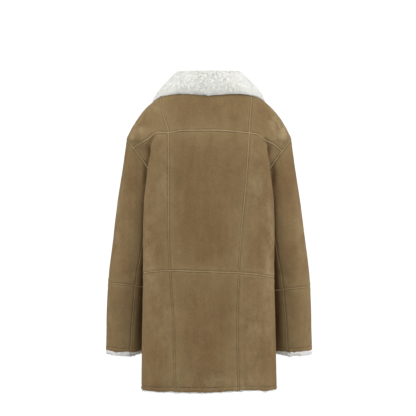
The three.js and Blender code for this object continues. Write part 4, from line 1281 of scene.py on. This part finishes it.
# The wool that shows at the cuffs, the hem and the front edges: tufts a millimetre, and their length.
CUFF_TUFTS = 11.0
HEM_TUFTS = 3.0
CUFF_TUFT = 5.4
HEM_TUFT = 4.0
FRINGE_RADIUS = 0.8
roots, ways, lengths = [], [], []
rng = np.random.default_rng(41)
for p in PANELS:
    for key, wool_shown in p["raw"].items():
        pi, ni, _, _, from_edge = panel_points(p, SKIN_STEP, False)
        run, nn = ({"b": g[0], "t": g[-1], "l": g[:, 0]}[key] for g in (pi, ni))
        back = {"b": pi[3], "t": pi[-4], "l": pi[:, 3]}[key]
        out = unit(run - back)
        count = int(steps_of(run).sum() * (CUFF_TUFTS if key == "t" else HEM_TUFTS))
        k = rng.uniform(0, len(run) - 1.001, count)
        lo, f = k.astype(int), (k % 1)[:, None]
        pick = lambda a: a[lo] * (1 - f) + a[lo + 1] * f
        q, m, w = pick(run), pick(nn), pick(out)
        depth = rng.uniform(2.0, BODY_WALL - 0.8, (count, 1))
        inset = rng.uniform(-0.5, wool_shown + 1.5, (count, 1))
        q[:, 2] += hem_dip(q)
        roots.append(q + m * (hang(q)[:, None] - depth) - w * inset)
        lean = 0.35 * rng.normal(size=(count, 1)) + 0.25 * (depth < 3)
        ways.append(unit(w + m * lean + 0.25 * rng.normal(size=(count, 3))))
        clumps = 1 + 0.45 * lumps(roots[-1], 8, 61)[:, None]
        lengths.append((CUFF_TUFT if key == "t" else HEM_TUFT) * clumps)
fv, ff = tufts(np.concatenate(roots), np.concatenate(ways), np.concatenate(lengths), FRINGE_RADIUS, 43)
fringe = add_mesh("edge_wool", fv, ff, [wool])

# The collar and its pile.
PILE_LENGTH = 2.6
PILE_RADIUS = 0.9
COLLAR_HIDE = 1.9
skin_side, wool_side, cn, turns, falls = collar_points(COLLAR_STEP)
pile = 0.6 * lumps(wool_side, 6.5, 51) + 0.4 * lumps(wool_side, 3.4, 52) + 0.9 * lumps(wool_side, 24, 53)
tip_fade = np.clip((3 - falls) / 0.06, 0.25, 1)[:, None]
wool_face = wool_side + cn * (pile * tip_fade - 1.8)[..., None]
low = np.clip((falls - 2.85) / 0.15, 0, 1)[:, None]
wool_face[..., 2] += low * (1.2 * lumps(wool_side, 4.5, 54) + 0.9 * lumps(wool_side, 11, 55))
nv, nu = wool_face.shape[:2]
count = nv * nu
loop = rim_loop(nv, nu)
ahead = np.roll(loop, -1)
rim = np.arange(len(loop)) + 2 * count
rim_ahead = np.roll(rim, -1)
hide_rim = (skin_side + COLLAR_HIDE * cn).reshape(-1, 3)[loop]
collar_verts = np.concatenate([wool_face.reshape(-1, 3), skin_side.reshape(-1, 3), hide_rim])
collar_faces = turned_out(collar_verts, np.concatenate([
    grid_quads(nv, nu),
    np.stack([ahead, loop, rim, rim_ahead], 1),
    np.stack([rim_ahead, rim, loop + count, ahead + count], 1),
    grid_quads(nv, nu, count)[:, ::-1],
]))
cells = (nv - 1) * (nu - 1)
collar_slots = np.repeat([0, 0, 1, 2], [cells, len(loop), len(loop), cells])
collar = add_mesh("collar_wool", collar_verts, collar_faces, [collar_wool, hide_edge, suede], collar_slots)
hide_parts("collar")

tuft_count = 26000
edge_count = 5200
cell = np.linalg.norm(np.cross(np.diff(wool_side, axis=0)[:, :-1], np.diff(wool_side, axis=1)[:-1]), axis=-1)
cell = cell * (falls[:-1, None] > 0.75)
pick = rng.choice(cell.size, tuft_count, p=(cell / cell.sum()).ravel())
i, j = np.unravel_index(pick, cell.shape)
a, b = rng.uniform(size=(2, tuft_count, 1))


def on_grid(g):
    return mix(mix(g[i, j], g[i, j + 1], b), mix(g[i + 1, j], g[i + 1, j + 1], b), a)


at = on_grid(wool_face)
way = on_grid(cn) + 0.55 * rng.normal(size=(tuft_count, 3)) + (0, 0, -0.25)
way = unit(way)
k = rng.uniform(0, nu - 1.001, edge_count)
j, f = k.astype(int), (k % 1)[:, None]
edge_at = mix(mix(wool_face[-1, j], wool_face[-1, j + 1], f), mix(skin_side[-1, j], skin_side[-1, j + 1], f),
              rng.uniform(0, 0.8, (edge_count, 1)))
edge_way = unit(unit(wool_face[-1, j] - wool_face[-5, j]) + 0.5 * rng.normal(size=(edge_count, 3)))
tv, tf = tufts(np.concatenate([at, edge_at]), np.concatenate([way, edge_way]), PILE_LENGTH, PILE_RADIUS, 44)
collar_pile = add_mesh("collar_pile", tv, tf, [collar_wool])

for k in range(1, 6):
    button = bpy.data.objects[f"button_{k}"]
    button.data.materials.clear()
    button.data.materials.append(horn)

# Floor and backdrop in one sheet: level under the coat, then curved up far behind it.
FLOOR_Z = -1.5
FLOOR_FROM, FLOOR_TO = 5.0, -9.0
CURVE = 5.0
WALL_FROM, WALL_TO = 4.0, 9.0
HALF_WIDTH = 9.0
lift = np.radians(np.linspace(0, 90, 31))[1:]
sweep = np.concatenate([
    np.stack([np.linspace(FLOOR_FROM, FLOOR_TO, 15), np.full(15, FLOOR_Z)], -1),
    np.stack([FLOOR_TO - CURVE * np.sin(lift), FLOOR_Z + CURVE - CURVE * np.cos(lift)], -1),
    np.stack([np.full(8, FLOOR_TO - CURVE), np.linspace(WALL_FROM, WALL_TO, 8)], -1),
])
across = np.linspace(-HALF_WIDTH, HALF_WIDTH, 11)
grid = np.stack(np.broadcast_arrays(across[None, :], sweep[:, :1], sweep[:, 1:]), -1)
floor_mesh = bpy.data.meshes.new("floor_and_backdrop")
floor_mesh.from_pydata(grid.reshape(-1, 3).tolist(), [], grid_quads(len(sweep), 11).tolist())
floor_ob = bpy.data.objects.new("floor_and_backdrop", floor_mesh)
bpy.context.scene.collection.objects.link(floor_ob)
for poly in floor_mesh.polygons:
    poly.use_smooth = True
paper, paper_tree, paper_shader = nodes_of("paper")
paper_tone = mottle(paper_tree, (3, 2, 0.5), (0.3, 0.19), (0.7, 0.21))
paper_tree.links.new(paper_tone, paper_shader.inputs["Base Color"])
finish(paper_shader, Roughness=0.9, Emission_Color=(1, 1, 1, 1), Emission_Strength=1.0)
floor_mesh.materials.append(paper)
floor_ob.visible_diffuse = False


def area_light(name, at, aim, size, watts):
    """A square lamp at a point, turned to face another."""
    data = bpy.data.lights.new(name, "AREA")
    data.shape = "SQUARE"
    data.size = size
    data.energy = watts
    ob = bpy.data.objects.new(name, data)
    ob.location = at
    ob.rotation_euler = (Vector(aim) - Vector(at)).to_track_quat("-Z", "Y").to_euler()
    bpy.context.scene.collection.objects.link(ob)


# Lamps: name, place, aim, size in metres, watts.
LAMPS = (
    ("above", (0.3, 1.6, 3.3), (0, 0.1, -0.3), 3.0, 112),
    ("behind_camera", (0.2, 5.2, 0.6), (0, 0, -0.4), 3.0, 103),
    ("fill_left", (3.2, 1.1, -0.3), (0, 0, -0.4), 2.0, 72),
    ("fill_right", (-3.2, 0.9, -0.3), (0, 0, -0.4), 2.0, 100),
    ("front", (0.4, -5.0, 1.2), (0, 0, -0.4), 3.0, 95),
)
for lamp in LAMPS:
    area_light(*lamp)

world = bpy.data.worlds.new("white_room")
bpy.context.scene.world = world
world.use_nodes = True
world.node_tree.nodes["Background"].inputs["Color"].default_value = (1, 1, 1, 1)
world.node_tree.nodes["Background"].inputs["Strength"].default_value = 0.27
bpy.context.scene.view_settings.view_transform = "Standard"

# The camera stands far behind the coat, near the height of its middle, and looks level at its back.
camera_data = bpy.data.cameras.new("camera")
camera_data.sensor_width = 36
camera_data.lens = 370.8
camera_data.clip_end = 40
camera = bpy.data.objects.new("camera", camera_data)
camera.location = (0.0028, 12.05, -0.308)
camera.rotation_euler = (math.pi / 2, 0, math.pi)
bpy.context.scene.collection.objects.link(camera)
bpy.context.scene.camera = camera
